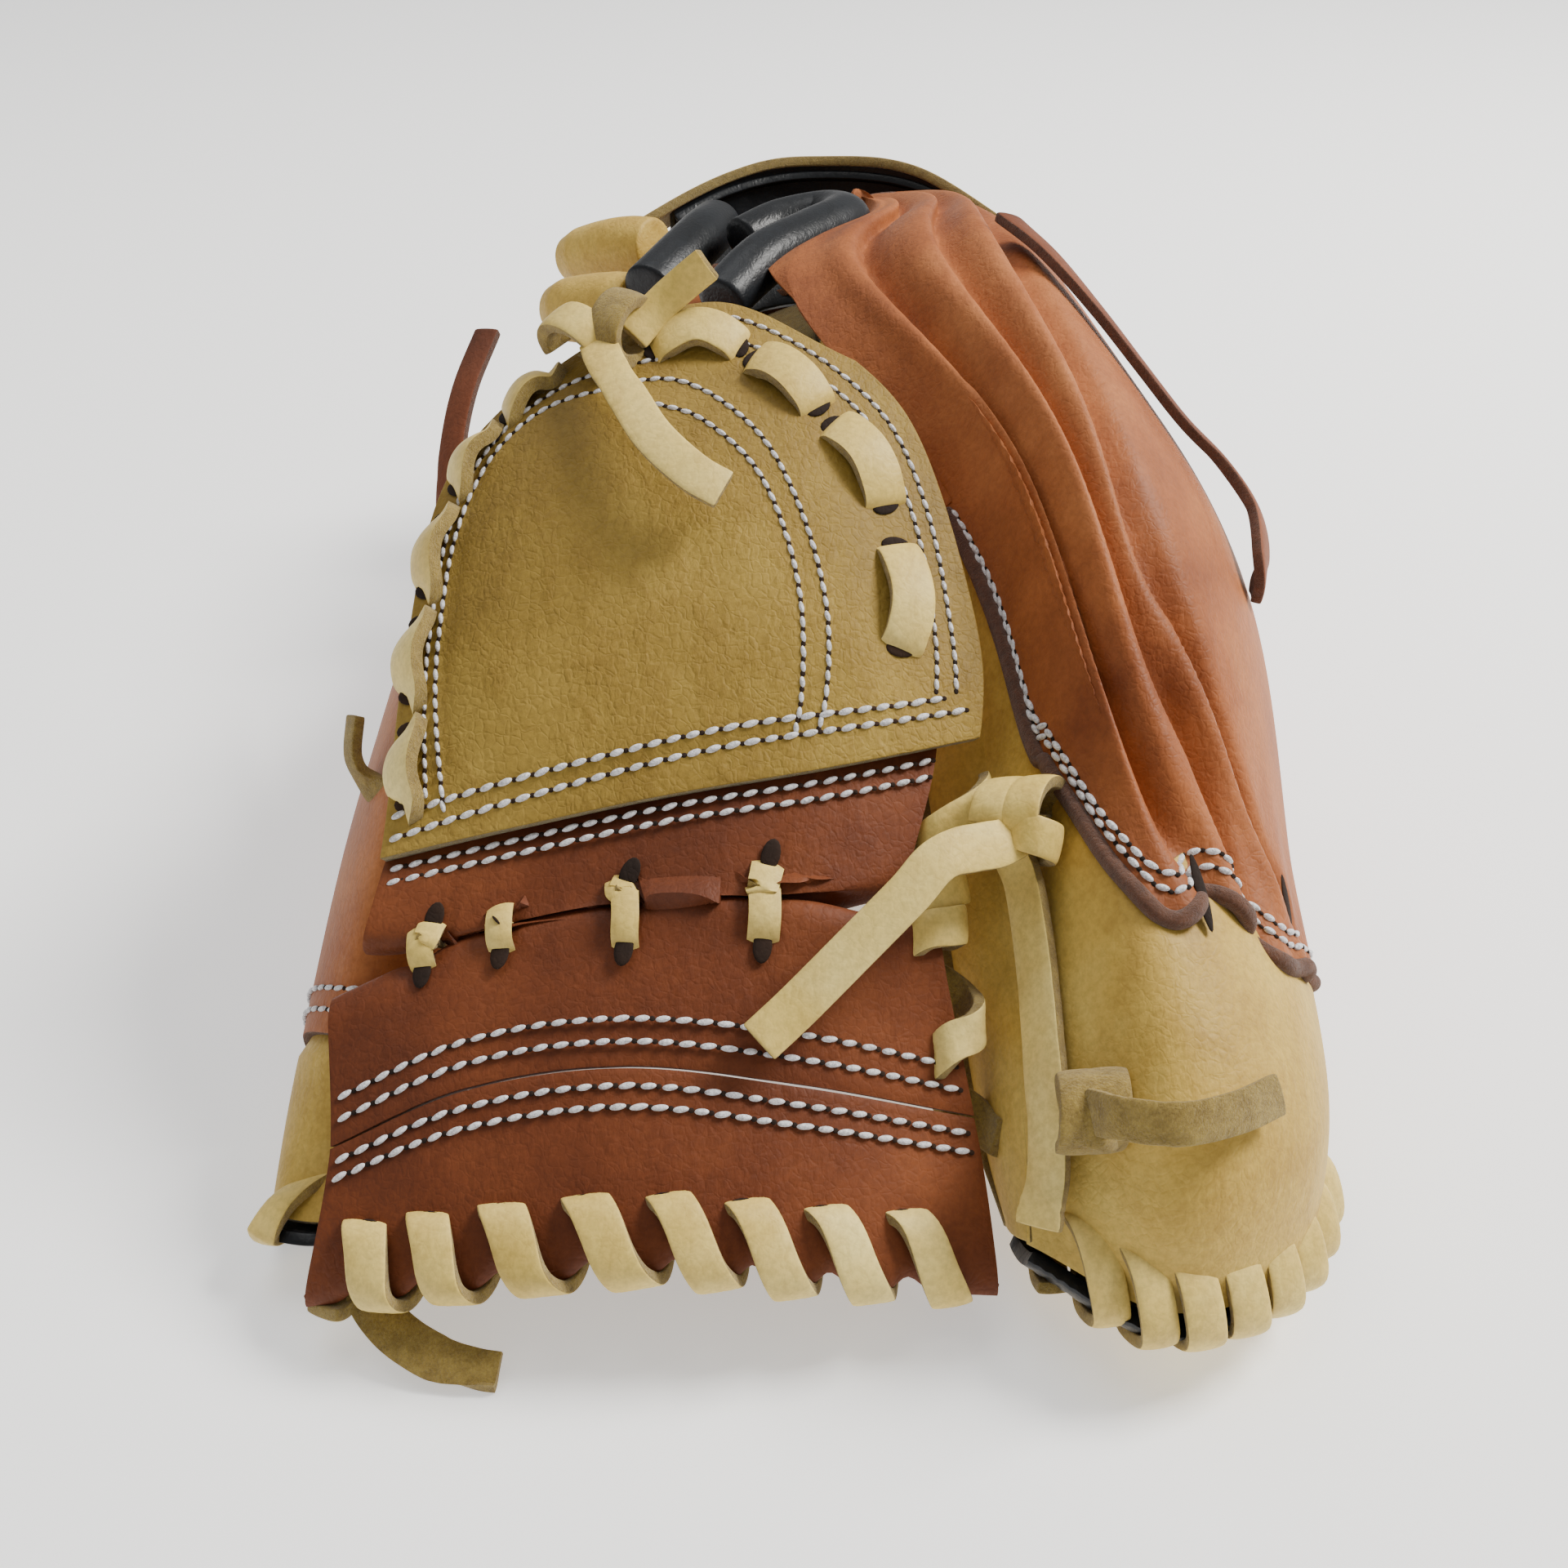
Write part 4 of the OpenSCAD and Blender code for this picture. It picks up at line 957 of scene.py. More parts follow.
k = np.linspace(0, 1, 40)[:, None]
tip_v = spline([0.148, 0.11, 0.06, 0.015, 0.0, 0.02, 0.06], k[:, 0])[:, None]
tip_h = spline([1.2, 1.5, 1.5, 1.0, -0.6, -2.0, -2.2], k[:, 0])[:, None]
dent = 0.0
loops = 8
for i in range(loops):
    uc = 0.03 + (0.93 - 0.03) * (i + 0.5) / loops
    dent = dent + np.exp(-((u - uc) / 0.022) ** 2)
tip_v = tip_v + 0.012 * dent * np.exp(-(tip_v / 0.02) ** 2)
tip_strip = sheet_piece("tip_strip", web(u + 0 * k, tip_v, tip_h + 0 * u), 2.0, [web_red_dark_and_shaded],
                        out=(0, -0.3, 0.3))
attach(tip_strip, MITT)
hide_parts("web_tip_strip")

rows, ups = [], []
for vv, hh, u1 in ((0.545, 1.9, 0.93), (0.529, 2.2, 0.93), (0.185, 1.65, 0.985), (0.168, 1.5, 0.985),
                   (0.134, 1.35, 0.985), (0.118, 1.5, 0.985)):
    uu = np.linspace(0.01, u1, 170)
    rows.append(web(uu, vv + 0 * uu, hh + 0.3))
    ups.append(web_up(uu, vv + 0 * uu))
bar_stitches = seam_rows("bar_stitches", rows, ups, pitch=3.1, length=2.45, width=1.0)
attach(bar_stitches, MITT)


# ---- lace over the tip of the web --------------------------------------
# Rawhide lace, smooth on the face and fuzzy where it is cut. It is whipped
# over the tip strip through a row of punched holes.
over_h = 5.3


def densify(points, ups, n):
    """A smooth lace route and its face directions from a few points."""
    u = np.linspace(0, 1, n)
    return spline(points, u), unit(spline(ups, u))


def whip_path(edge, inward, up, turns, reach, half, steps):
    """A helix round an edge, flattened so that it lies on both faces."""
    i = np.arange(turns * steps + 1)
    a = 2 * math.pi * i / steps
    ca, sa = np.cos(a), np.sin(a)
    ca2 = np.sign(ca) * np.abs(ca) ** 0.75
    sa2 = np.sign(sa) * np.abs(sa) ** 0.6
    path = edge + inward * (reach / 2 - ca2 * (reach / 2 + 1.4))[:, None] - up * (sa2 * half)[:, None]
    ups = inward * (-ca)[:, None] - up * sa[:, None]
    return path, ups


lace_face = leather("lace_face", (0.62, 0.43, 0.09), (0.80, 0.59, 0.16), (0.90, 0.73, 0.27), rough=0.5,
                    grain=0.35, crease=0.2)
lace_suede = suede("lace_suede", (0.17, 0.10, 0.012), (0.56, 0.39, 0.085))


def lace_piece(name, path, ups, width=6.3, thick=2.0, mats=None):
    """A flat lace along a path, its face up, its edges curled and uneven."""
    path = np.array(path, float)
    ahead = np.empty_like(path)
    ahead[1:-1] = path[2:] - path[:-2]
    ahead[0], ahead[-1] = path[1] - path[0], path[-1] - path[-2]
    ahead = unit(ahead)
    side = unit(np.cross(ahead, np.array(ups, float)))
    up = unit(np.cross(side, ahead))
    rng = np.random.default_rng(len(path) * 7 + 3)
    cols = np.array([-0.5, -0.3, -0.1, 0.1, 0.3, 0.5])
    curl = -0.35 * (2 * np.abs(cols)) ** 3
    wob = 1 + 0.03 * rng.standard_normal((len(path), 2)).cumsum(0).clip(-1.5, 1.5)
    pts = (path[:, None] + side[:, None] * (cols * width)[None, :, None] * wob[:, :1, None]
           + up[:, None] * curl[None, :, None])
    pts[..., 2] = np.maximum(pts[..., 2], thick / 2 + 0.05)
    mesh = grid_mesh(name, pts)
    ref = Vector(up[len(up) // 2])
    mid = [p for p in mesh.polygons if (p.center - Vector(path[len(path) // 2] * MM)).length < 0.006]
    if mid and sum(p.normal.dot(ref) for p in mid) < 0:
        mesh.flip_normals()
    ob = bpy.data.objects.new(name, mesh)
    bpy.context.scene.collection.objects.link(ob)
    for m in mats or (lace_face, lace_suede):
        mesh.materials.append(m)
    sol = ob.modifiers.new("thick", "SOLIDIFY")
    sol.thickness = thick * MM
    sol.offset = 0
    sol.material_offset = 1
    sol.material_offset_rim = 1
    soften(ob, 1)
    return ob


def whip_lace(name, at, edge_fn, in_fn, up_fn, turns, reach, half_fn, width=6.3):
    """Lace whipped over an edge in equal turns."""
    steps = 18
    q = np.linspace(at[0], at[1], turns * steps + 1)
    edge, inward, up = edge_fn(q), in_fn(q), up_fn(q)
    path, ups = whip_path(edge, inward, up, turns, reach, half_fn(q), steps)
    return lace_piece(name, path, ups, width=width)


def web_tip(q):
    """The tip edge of the web."""
    return web(q, 0.002 + 0 * q, 0)


tip_lace = whip_lace("web_tip_lace_v", (0.03, 0.93), web_tip,
                     lambda q: unit(web(q, 0.09 + 0 * q, 0) - web_tip(q)),
                     lambda q: web_up(q, 0.03 + 0 * q), 8, 9.6, lambda q: 3.0 + 0 * q)
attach(tip_lace, MITT)
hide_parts("web_tip_lace")


# ---- lace round the half-moon ------------------------------------------
# The same lace runs in and out round the arch, hugging the edge on the
# thumb side. It lies in nine long stitches.
arch_run = [[0.045, 0.60], [0.040, 0.655], [0.036, 0.68], [0.036, 0.735], [0.040, 0.76], [0.050, 0.815],
            [0.06, 0.84], [0.085, 0.885],
            [0.10, 0.905], [0.15, 0.945], [0.40, 0.957], [0.65, 0.95], [0.685, 0.935], [0.795, 0.88],
            [0.815, 0.862], [0.875, 0.795],
            [0.877, 0.765], [0.857, 0.675]]
pieces = []
hole_spots = []
for k in range(len(arch_run) // 2):
    a, b = np.array(arch_run[2 * k]), np.array(arch_run[2 * k + 1])
    al = np.array([0, 0.03, 0.10, 0.3, 0.5, 0.7, 0.90, 0.97, 1.0])
    rise = np.array([-1.0, 1.0, 2.2, 3.3, 3.7, 3.3, 2.2, 1.0, -1.0]) + 2.6
    q = a + (b - a) * al[:, None]
    bulge = 0.012 * np.sin(math.pi * al)
    cen = np.array([0.45, 0.7])
    q = q + unit(q - cen) * bulge[:, None]
    base = top_h(q[:, 0], q[:, 1]) - 4.0
    pts = web(q[:, 0], q[:, 1], rise + base)
    n = web_up(q[:, 0], q[:, 1])
    outward = unit(q - cen) * (np.clip((0.2 - q[:, :1]) / 0.1, 0, 1))
    n = unit(n + np.stack([outward[:, 0], 0 * al, 0 * al], -1) * 0.9)
    pts, n = densify(pts, n, 26)
    pieces.append(lace_piece("arch_lace_%d" % k, pts, n, width=6.9, thick=2.3))
    for end in (0, -1):
        hole_spots.append((web(q[end, 0], q[end, 1], base[end] + 4.15) + 0.0, pts[-1] - pts[0],
                           web_up(q[end, 0], q[end, 1]), 1.6, 2.6))


def apply_all(ob):
    """Turns the modifiers of a piece into plain mesh."""
    with bpy.context.temp_override(active_object=ob, object=ob, selected_objects=[ob]):
        for m in list(ob.modifiers):
            bpy.ops.object.modifier_apply(modifier=m.name)
    return ob


arch_lace = join("arch_lace", [apply_all(p) for p in pieces])
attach(arch_lace, MITT)
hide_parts("web_arch_lace")


# ---- knot of the half-moon ---------------------------------------------
# The lace ends at the top of the arch, wrapped twice, with a long end down
# over the face and a short one up.
knot_parts = []
tail = [[0.30, 0.945, 9.0], [0.345, 0.91, 10.0], [0.395, 0.877, 11.0], [0.445, 0.845, 12.0],
        [0.515, 0.818, 12.3], [0.57, 0.805, 11.5]]
tail = np.array(tail)
pts = web(tail[:, 0], tail[:, 1], tail[:, 2])
pts, n = densify(pts, web_up(tail[:, 0], tail[:, 1]), 30)
knot_parts.append(lace_piece("moon_tail", pts, n, width=6.2, thick=2.1))
short = np.array([[0.36, 0.96, 7.0], [0.42, 0.985, 8.0], [0.50, 0.995, 10.0], [0.585, 0.998, 13.0]])
pts = web(short[:, 0], short[:, 1], short[:, 2])
pts, n = densify(pts, np.array([[0.1, -0.9, 0.4]] * 4), 20)
knot_parts.append(lace_piece("moon_end", pts, n, width=6.0, thick=2.0))
for k, (wrap, tilt) in enumerate((((0.215, 0.965), 0.9), ((0.315, 0.975), -0.3))):
    c = web(wrap[0], wrap[1], over_h + 1.8)
    n0 = web_up(wrap[0], wrap[1])
    e1 = unit(web(wrap[0] + 0.05, wrap[1] + 0.04 * tilt, 0) - web(wrap[0] - 0.05, wrap[1] - 0.04 * tilt, 0))
    e2 = unit(np.cross(n0, e1))
    ang = np.linspace(-0.5, 1.6 * math.pi, 34)
    ring = (c + e2 * (np.cos(ang) * 5.8)[:, None] + n0 * (np.sin(ang) * 4.6 + 0.5)[:, None]
            + e1 * (3.5 * ang / 6)[:, None])
    outward = e2 * np.cos(ang)[:, None] + n0 * np.sin(ang)[:, None]
    knot_parts.append(lace_piece("moon_wrap_%d" % k, ring, outward, width=6.4, thick=2.3,
                                 mats=(lace_face, lace_suede) if k == 0 else (lace_suede, lace_suede)))
web_knot = join("moon_knot", [apply_all(p) for p in knot_parts])
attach(web_knot, MITT)
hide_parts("web_knot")


# ---- ties between the bars ---------------------------------------------
# Four narrow ties of lace through both bars. They pull the rolls together,
# so the leather puckers round their holes.
pieces = []
for k, (u0, v0, u1, v1) in enumerate(((0.125, 0.455, 0.155, 0.262), (0.255, 0.41, 0.285, 0.255),
                                      (0.465, 0.465, 0.485, 0.245), (0.683, 0.470, 0.688, 0.250))):
    along = np.array([0, 0.05, 0.15, 0.35, 0.5, 0.65, 0.85, 0.95, 1.0])
    high = np.array([1.0, 3.2, 4.3, 4.4, 3.3, 3.3, 4.0, 3.2, 0.8])
    uu, vv = u0 + (u1 - u0) * along, v0 + (v1 - v0) * along
    pts, n = densify(web(uu, vv, high), web_up(uu, vv), 34)
    pieces.append(lace_piece("bar_tie_%d" % k, pts, n, width=4.6 if k == 3 else 3.8, thick=2.0))
    for end, lift in ((0, 3.6), (-1, 2.9)):
        hole_spots.append((web(uu[end], vv[end] + (0.006 if end == 0 else -0.004), lift),
                           web(uu[end], vv[end] + 0.02,
                               lift) - web(uu[end], vv[end] - 0.02,
                                           lift), web_up(uu[end], vv[end]), 2.7, 1.5))
for i in range(loops):
    uc = 0.03 + (0.93 - 0.03) * (i + 0.53) / loops
    vh = 0.002 + 0.088 * 10.0 / np.linalg.norm(web(uc, 0.09, 0) - web(uc, 0.002, 0))
    hole_spots.append((web(uc, vh, 1.66), web(uc + 0.02, vh, 0) - web(uc - 0.02, vh, 0), web_up(uc, vh),
                       2.9, 1.6))
# The holes of the arch lace, the ties and the tip lace are dark ovals of painted shade.
web_hole_shade = holes_piece("web_hole_shade", hole_spots)
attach(web_hole_shade, MITT)
bar_ties = join("bar_ties", [apply_all(p) for p in pieces])
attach(bar_ties, MITT)
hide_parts("web_cross_lace")


# ---- lace between the web and the index finger -------------------------
# Lace whipped through the right end of the web and the index finger. Its
# lower end comes out as a loose tail at the far corner.

def web_end(q):
    """The end of the web beside the index finger."""
    return web(1 + 0 * q, q, 0)


index_whip = whip_lace("web_side_lace", (0.14, 0.52), lambda q: web_end(q) + np.array([3, 0, -2.0]),
                       lambda q: unit(web(0.9 + 0 * q, q, 0) - web_end(q)),
                       lambda q: web_up(0.98 + 0 * q, q), 4, 6.0, lambda q: 4.6 + 0 * q)
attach(index_whip, MITT)
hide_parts("web_index_lace")

corner = (np.array([[-61, -132, 9], [-62, -134, 8], [-58, -138, 5.5], [-52, -141, 3.4],
                    [-46, -142.5, 2.4], [-42, -143, 2.0]]) + CENTRE)
pts, n = densify(corner, np.array([[0.3, -0.6, 0.7]] * 6), 36)
corner_tail = lace_piece("corner_tail", pts, n, width=6.0, mats=(lace_suede, lace_suede))
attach(corner_tail, MITT)
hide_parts("web_corner_tail")


# ---- lace over the fingertips ------------------------------------------
# Lace whipped over the black binding, narrower than the lace of the web and
# drawn tight.

def tip_edge(q):
    """The middle of the fingertip edge."""
    return deep(FO, FI, 0.003, q, 0, 0.5)


def tip_in(q):
    """From the fingertip edge toward the hand."""
    return unit(deep(FO, FI, 0.16, q, 0, 0.5) - tip_edge(q))


def tip_up(q):
    """From the palm side of the fingertips to their back."""
    return unit(net(FO, 0.003, q) - net(FI, 0.003, q))


def half_tip(q):
    """Half the thickness of the fingertips, with the lace laid on them."""
    return np.linalg.norm(net(FO, 0.03, q) - net(FI, 0.03, q), axis=-1) / 2 + 1.7


finger_loops = whip_lace("finger_loops", (0.07, 0.74), tip_edge, tip_in, tip_up, 8, 12.0, half_tip,
                         width=5.6)
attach(finger_loops, MITT)
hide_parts("fingertip_lace")

route = np.array([[0.075, 0.045, 4.0], [0.10, 0.05, 3.6], [0.13, 0.055, 2.2], [0.17, 0.06, 1.8],
                  [0.21, 0.065, 1.8], [0.25, 0.07, 1.8], [0.285, 0.075, 3.0], [0.30, 0.075, 6.0]])
base = net(FO, route[:, 0], route[:, 1])
n = finger_up(route[:, 0], route[:, 1])
pts, n = densify(base + n * (route[:, 2:3] + 0.6), n, 60)
index_strap = lace_piece("index_strap", pts, n, width=6.8, thick=2.2)
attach(index_strap, MITT)
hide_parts("index_lace")


# ---- knots of the index finger -----------------------------------------
# The lace is knotted at both ends of its run down the finger. One tail falls
# over the web, and a short suede one lies across the fingertips.
knot_out = unit(np.array([-0.35, -0.65, 0.68]))


def off_finger(s, t, h):
    """Points above the index finger, along the way that its knot stands."""
    return net(FO, np.array(s, float), np.array(t, float)) + knot_out * (1.4 + h)


def coil(c, axis, first, r, turns, pitch, n=48, squash=0.75):
    """Turns of lace round an axis, as in a knot."""
    axis = unit(np.array(axis, float))
    e1 = unit(np.cross(axis, first))
    e2 = np.cross(e1, axis)
    a = np.linspace(0, 2 * math.pi * turns, n)
    path = (c + e1 * (np.cos(a) * r)[:, None] + e2 * (np.sin(a) * r * squash)[:, None]
            + axis * (a / 6.283 * pitch)[:, None])
    return path, e1 * np.cos(a)[:, None] + e2 * np.sin(a)[:, None]


parts = []
tail = np.array([off_finger(0.305, 0.075, 9), off_finger(0.298, 0.05, 13.5), web(0.97, 0.35, 16.0),
                 web(0.90, 0.305, 13.5), web(0.82, 0.25, 10.5), web(0.74, 0.20, 7.5), web(0.69, 0.172, 6.2)])
pts, n = densify(tail, np.array([[0.05, -0.62, 0.78]] * 7), 48)
parts.append(lace_piece("index_tail", pts, n, width=7.0, thick=2.2))
c = off_finger(0.315, 0.07, 6.5)
p, n = coil(c - unit(np.array([0.9, -0.3, 0.3])) * 3, [0.9, -0.3, 0.3], [0, 0.4, 1.0], 6.2, 1.6, 5.0)
parts.append(lace_piece("index_wrap", p, n, width=6.0, thick=2.0))
p, n = coil(off_finger(0.30, 0.085, 5.5), [0.2, 0.6, 0.7], [1, 0, 0.2], 5.0, 1.1, 2.5, 36)
parts.append(lace_piece("index_wrap_b", p, n, width=5.6, thick=2.0))
index_knot = join("index_knot_v", [apply_all(p) for p in parts])
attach(index_knot, MITT)
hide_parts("index_knot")

parts = []
line = np.array([[0.18, 0.145, 6.0], [0.178, 0.19, 7.0], [0.176, 0.25, 6.0], [0.18, 0.32, 4.2],
                 [0.186, 0.395, 3.2]])
base = net(FO, line[:, 0], line[:, 1])
n = finger_up(line[:, 0], line[:, 1])
pts, n = densify(base + n * line[:, 2:3], n + np.array([0, -0.3, 0]), 40)
parts.append(lace_piece("tip_tail", pts, n, width=6.0, thick=2.0, mats=(lace_suede, lace_suede)))
kc = net(FO, np.array(0.178), np.array(0.125))
kn = finger_up(np.array(0.178), np.array(0.125))
p, n = coil(kc + kn * 4.0 - np.array([2, 0, 0]), [1, 0.1, 0], kn, 5.2, 1.5, 4.0, 44)
parts.append(lace_piece("tip_wrap", p, n, width=6.0, thick=2.0, mats=(lace_suede, lace_suede)))
p, n = coil(kc + kn * 3.5 + np.array([1, -1, -2]), [0.1, 0.6, 0.8], np.array([1.0, 0, 0]), 5.0, 1.0, 2.0, 36)
parts.append(lace_piece("tip_wrap_b", p, n, width=5.6, thick=2.0, mats=(lace_suede, lace_suede)))
tip_knot = join("tip_knot_v", [apply_all(p) for p in parts])
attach(tip_knot, MITT)
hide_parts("tip_knot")


# ---- red lace of the little finger -------------------------------------
# Red lace drawn along the seam of the little finger. It ends in a small loop
# that stands off the leather.
route = np.array([[0.70, 0.26, 1.8], [0.665, 0.31, 1.8], [0.63, 0.37, 1.8], [0.60, 0.43, 2.0],
                  [0.575, 0.48, 2.6], [0.555, 0.53, 4.6], [0.525, 0.56,
                                                           5.6], [0.495, 0.57, 3.6], [0.485, 0.60, 0.6]])
base = net(FO, route[:, 0], route[:, 1])
n = finger_up(route[:, 0], route[:, 1])
pts, n = densify(base + n * (route[:, 2:3] + 0.6), n, 70)

red_lace = leather("red_lace", (0.10, 0.026, 0.009), (0.18, 0.05, 0.018), (0.26, 0.08, 0.03), grain=0.4)

pinky_lace = lace_piece("pinky_lace", pts, n, width=6.3, mats=(red_lace, red_suede))
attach(pinky_lace, MITT)
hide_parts("pinky_loop_lace")


# ---- wrist strap -------------------------------------------------------
# A blond strap over the wrist with a raw cut edge, lined with soft black
# leather that runs down inside the hand opening.
strap_front = np.array([[-36, 112, 90], [-14, 128, 97], [8, 135, 99], [34, 128, 98], [57, 113, 88]]) + CENTRE
strap_back = np.array([[-38, 130, 80], [-16, 145, 88], [8, 151, 90], [36, 147, 88], [61, 132, 76]]) + CENTRE
uu = np.linspace(0, 1, 90)
fr, bk = spline(strap_front, uu), spline(strap_back, uu)
w = np.linspace(0, 1, 24)[None, :, None]
strap_pts = (fr[:, None] + (bk - fr)[:, None] * w
             + np.array([0, -0.3, 0.6]) * (1.2 * np.sin(math.pi * w) + 0.3 * np.sin(uu * 21)[:, None, None]))
strap = sheet_piece("strap", strap_pts, 2.4, [blond, blond_suede])
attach(strap, MITT)
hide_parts("wrist_strap")
q = np.linspace(0.10, 0.90, 70)
fr, bk = spline(strap_front, q), spline(strap_back, q)
lining_pts = (fr[:, None] + (bk - fr)[:, None] * (0.02 + 0.94 * w)
              - np.array([0, 0.3, 1.0]) * (3.4 + 0.9 * np.sin(math.pi * w)))
low = fr + np.array([0, -16, -30.0])
inner_wall = ((fr - np.array([0, 0.4, 1.6]))[:, None] + (low - fr)[:, None] * w
              + np.array([0, 1.0, 0]) * (5 * np.sin(math.pi * w)))
strap_pad = join("strap_pad", [sheet_piece("strap_pad", lining_pts, 2.0, [black]),
                               sheet_piece("strap_inner", inner_wall, 2.0, [black], out=(0, -1, 0))])
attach(strap_pad, MITT)
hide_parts("strap_lining")


# ---- hand opening ------------------------------------------------------
# The rim and its bar are stuffed and covered with black leather. Two stuffed
# blond rolls close the strap and the heel at the thumb side.
rim_route = (np.array([[-13, 34, 98], [-4, 48, 102], [6, 63, 102], [13, 76, 101], [9, 86, 99],
                       [-1, 84, 98], [-10, 76, 97]]) + CENTRE)
rim = tube_piece("opening_rim_v", rim_route, np.array([5.6, 6.0, 6.2, 6.4, 6.2, 5.8, 5.0]), black, n=70,
                 ring=24, flat=0.9)
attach(rim, MITT)
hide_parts("opening_rim")
bar_route = np.array([[-16, 104, 92], [-19, 90, 93], [-24, 76, 92], [-30, 64, 90]]) + CENTRE
bar = tube_piece("opening_bar_v", bar_route, np.array([6.0, 6.4, 6.4, 6.0]), black, n=40, ring=24, flat=0.9)
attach(bar, MITT)
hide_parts("opening_bar")

for name, node, route in (("strap_roll_v", "strap_roll",
                           [[-54, 122, 77], [-47, 117, 80], [-39, 112, 83],
                            [-31, 107, 85]]), ("heel_roll_v", "heel_roll",
                                               [[-53, 84, 78], [-47, 79, 80], [-40, 75, 82],
                                                [-33, 71, 84]])):
    roll = tube_piece(name, np.array(route, float) + CENTRE, np.array([5.6, 7.2, 7.6, 7.7, 7.6, 7.0]),
                      blond, n=40, ring=30)
    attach(roll, MITT)
    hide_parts(node)


# ---- leather of the thumb ----------------------------------------------
# Red leather over the thumb and the ball of the hand, a blond tip and a blond
# palm side. These are one length across the joint where the stall leaves the
# hand.


def bent(ob):
    """Applies the modifiers of a piece and bakes its placement into its mesh."""
    apply_all(ob)
    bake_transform(ob)
    return ob


s = np.linspace(0, 1, 110)[:, None]
t = np.linspace(0, foot_t, 80)[None, :]
s_seam = 0.20 - 0.03 * t
wr = (0.5 * np.sin(14 * s + 6 * t) * np.sin(5 * t)
      + 0.9 * np.exp(-((s - 0.48) / 0.03) ** 2) * np.sin(math.pi * t))
thumb_pts = deep(TO, TI, s_seam + 0.004 + (0.975 - s_seam) * s, t + 0 * s, wr)
thumb_leather = bent(sheet_piece("thumb_leather", thumb_pts, 2.4, [red, red_suede], out=(-0.7, 0, 0.7)))
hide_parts("thumb_back", "thumb_base_back")
tl = np.linspace(0.01, 0.94, 150)
rows, ups = [], []


def thumb_up(s, t):
    """Directions off the outside of the thumb."""
    return surface_up(TO, s, t, deep(TO, TI, s, t, 0) - deep(TO, TI, s, t, 1))


for off in (0.020, 0.034):
    rows.append(deep(TO, TI, 0.20 - 0.03 * tl + off, tl, 0))
    ups.append(thumb_up(0.20 - 0.03 * tl + off, tl))
thumb_stitches = seam_rows("thumb_stitches", rows, ups)
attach(thumb_stitches, STALL)

s = np.linspace(0, 1, 40)[:, None]
s_t = 0.026 + (s_seam + 0.02 - 0.026) * s
thumb_tip_pts = deep(TO, TI, s_t, t + 0 * s, 0.4 + 1.9 * np.clip((s - 0.82) / 0.1, 0, 1) + 0 * t)
thumb_tip = sheet_piece("thumb_tip", thumb_tip_pts, 2.0, [blond, blond_suede], out=(-0.7, 0, 0.7))
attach(thumb_tip, STALL)
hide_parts("thumb_tip_panel")

s = np.linspace(0.04, 0.975, 90)[:, None]
t = np.linspace(0, foot_t, 50)[None, :]
thumb_palm_pts = deep(TO, TI, s + 0 * t, t + 0 * s, -0.1 + 0.3 * np.sin(20 * s) * np.sin(6 * t), 1.0)
thumb_palm = bent(sheet_piece("thumb_palm_v", thumb_palm_pts, 2.2, [blond, blond_suede], out=(0.7, 0, -0.7)))
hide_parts("thumb_palm")

s = np.linspace(0.04, 0.975, 90)
w = np.linspace(0.03, 0.97, 10)
outer, inner = net(TO, s, 0.006), net(TI, s, 0.006)
wall_pts = (outer[:, None] + (inner - outer)[:, None] * w[None, :, None]
            + 1.0 * np.sin(math.pi * w)[None, :, None] * np.array([1.0, -0.3, 0.2]))
thumb_side = bent(sheet_piece("thumb_side", wall_pts, 1.8, [blond, blond_suede], out=(1, -0.4, 0.2)))
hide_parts("thumb_side_wall")

thumb_binding = bent(sheet_piece("thumb_binding", foot_band(TO, TI), 1.8, [red, red_suede],
                                 out=(-0.3, 0, -1)))
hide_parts("thumb_edge_binding", "thumb_base_edge")


# ---- inside and tip of the thumb ---------------------------------------
# Black binding at the tip, a black lining in the stall, and felt pads in the
# thumb and in its heel. All are caught in the edge seams.
t_line = np.linspace(0.0, foot_t, 60)
lip = unit(deep(TO, TI, 0.0, t_line, 0, 0.5) - deep(TO, TI, 0.06, t_line, 0, 0.5))
thumb_cap = sheet_piece("thumb_cap", edge_band(TO, TI, 0.006, t_line, lip, 1.3), 1.8, [black],
                        out=(0, -1, 0.2))
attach(thumb_cap, STALL)
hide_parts("thumb_tip_binding")

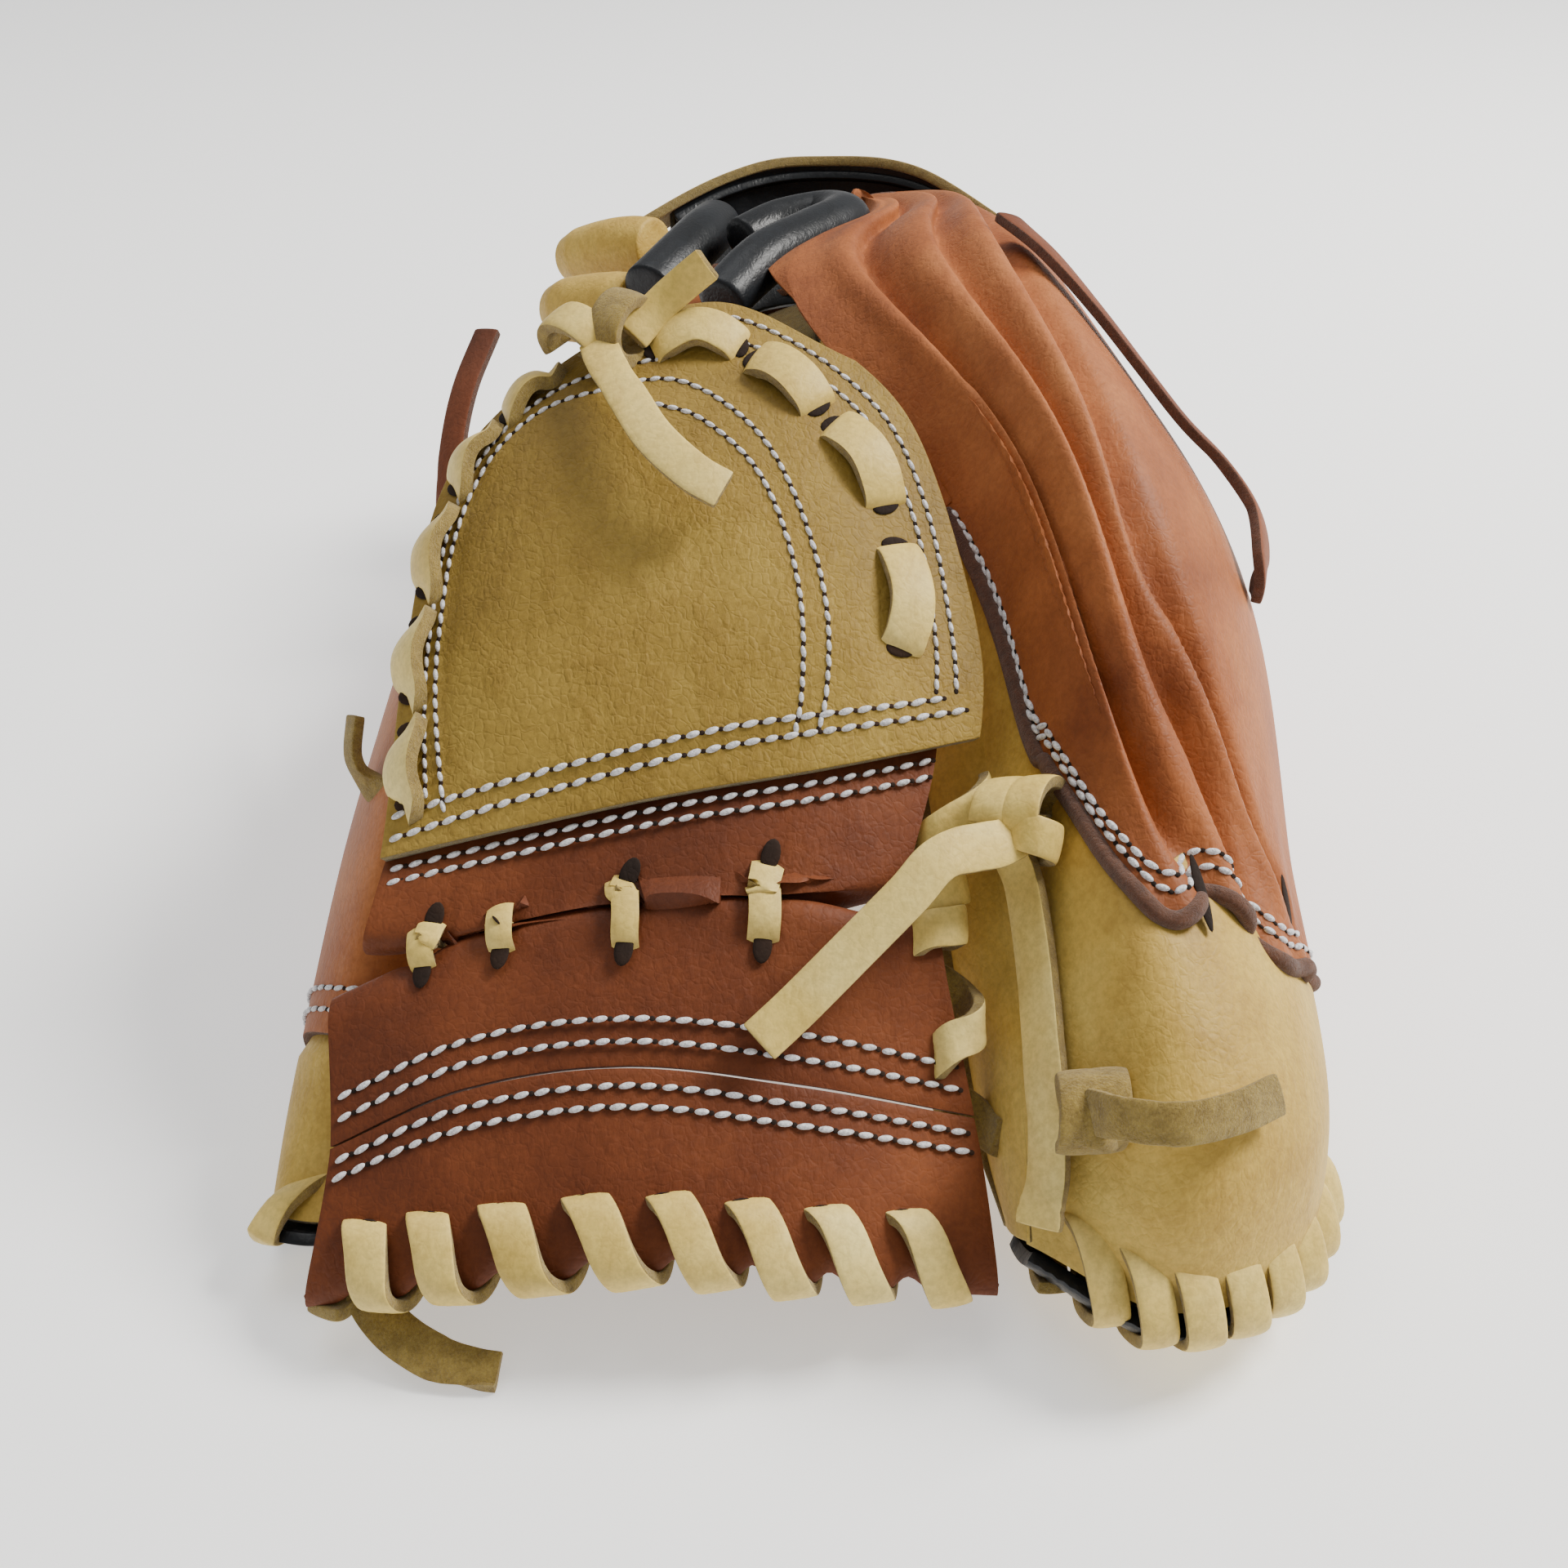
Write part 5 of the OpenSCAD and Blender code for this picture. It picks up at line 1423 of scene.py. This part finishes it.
s = np.linspace(0.24, 0.5, 30)[:, None]
t = np.linspace(0.08, 0.9, 40)[None, :]
thumb_lining = sheet_piece("thumb_lining_v", deep(TO, TI, s + 0 * t, t + 0 * s, 3.8 + 0.2 * np.sin(30 * t)
                                                  + 0 * s), 1.2, [black], out=(-0.7, 0, 0.7))
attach(thumb_lining, STALL)
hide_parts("thumb_lining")
thumb_felt = pad_piece("thumb_felt", TO, TI, 0.22, 0.48, 0.1, 0.86, (1.4, 0.68), (-4.4, 1.0), felt)
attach(thumb_felt, STALL)
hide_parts("thumb_pad")
heel_felt = pad_piece("heel_felt", TO, TI, 0.64, 0.95, 0.3, 0.9, (1.4, 0.68), (-4.4, 1.0), felt)
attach(heel_felt, MITT)
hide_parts("thumb_heel_pad")


# ---- laces of the thumb ------------------------------------------------
# A turn of lace over the tip, the red lace end that stands up beside the
# web, and a short suede end at the side.
thumb_loops = whip_lace("thumb_loops_v", (0.2, 0.8), lambda q: deep(TO, TI, 0.004, q, 0, 0.5),
                        lambda q: unit(deep(TO, TI, 0.12, q, 0, 0.5) - deep(TO, TI, 0.004, q, 0, 0.5)),
                        lambda q: unit(net(TO, 0.03, q) - net(TI, 0.03, q)), 1, 9.6,
                        lambda q: np.linalg.norm(net(TO, 0.05, q) - net(TI, 0.05, q), axis=-1) / 2 + 1.6,
                        width=5.4)
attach(thumb_loops, STALL)
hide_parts("thumb_tip_lace")

foot = deep(TO, TI, np.array(0.54), np.array(0.66), np.array(-1.4))
line = np.array([foot + [1, -6, -3], foot, foot + [0, 12, 10], foot + [2, 22, 19], foot + [6, 33, 27]])
pts, n = densify(line, np.array([[-0.5, -0.8, 0.5]] * 5), 40)
thumb_end = lace_piece("thumb_red_end", pts, n, width=6.0, mats=(red_lace, red_suede))
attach(thumb_end, MITT)
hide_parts("thumb_loop_lace")

foot = deep(TO, TI, np.array(0.34), np.array(0.60), np.array(-1.4))
line = np.array([foot + [4, -3, -1], foot, foot + [-2.5, 2, 4], foot + [-2, 6, 10]])
pts, n = densify(line, np.array([[-0.9, -0.4, 0.3]] * 4), 26)
side_tail = lace_piece("thumb_blond_end", pts, n, width=5.6, mats=(lace_suede, lace_suede))
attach(side_tail, STALL)
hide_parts("thumb_side_tail")
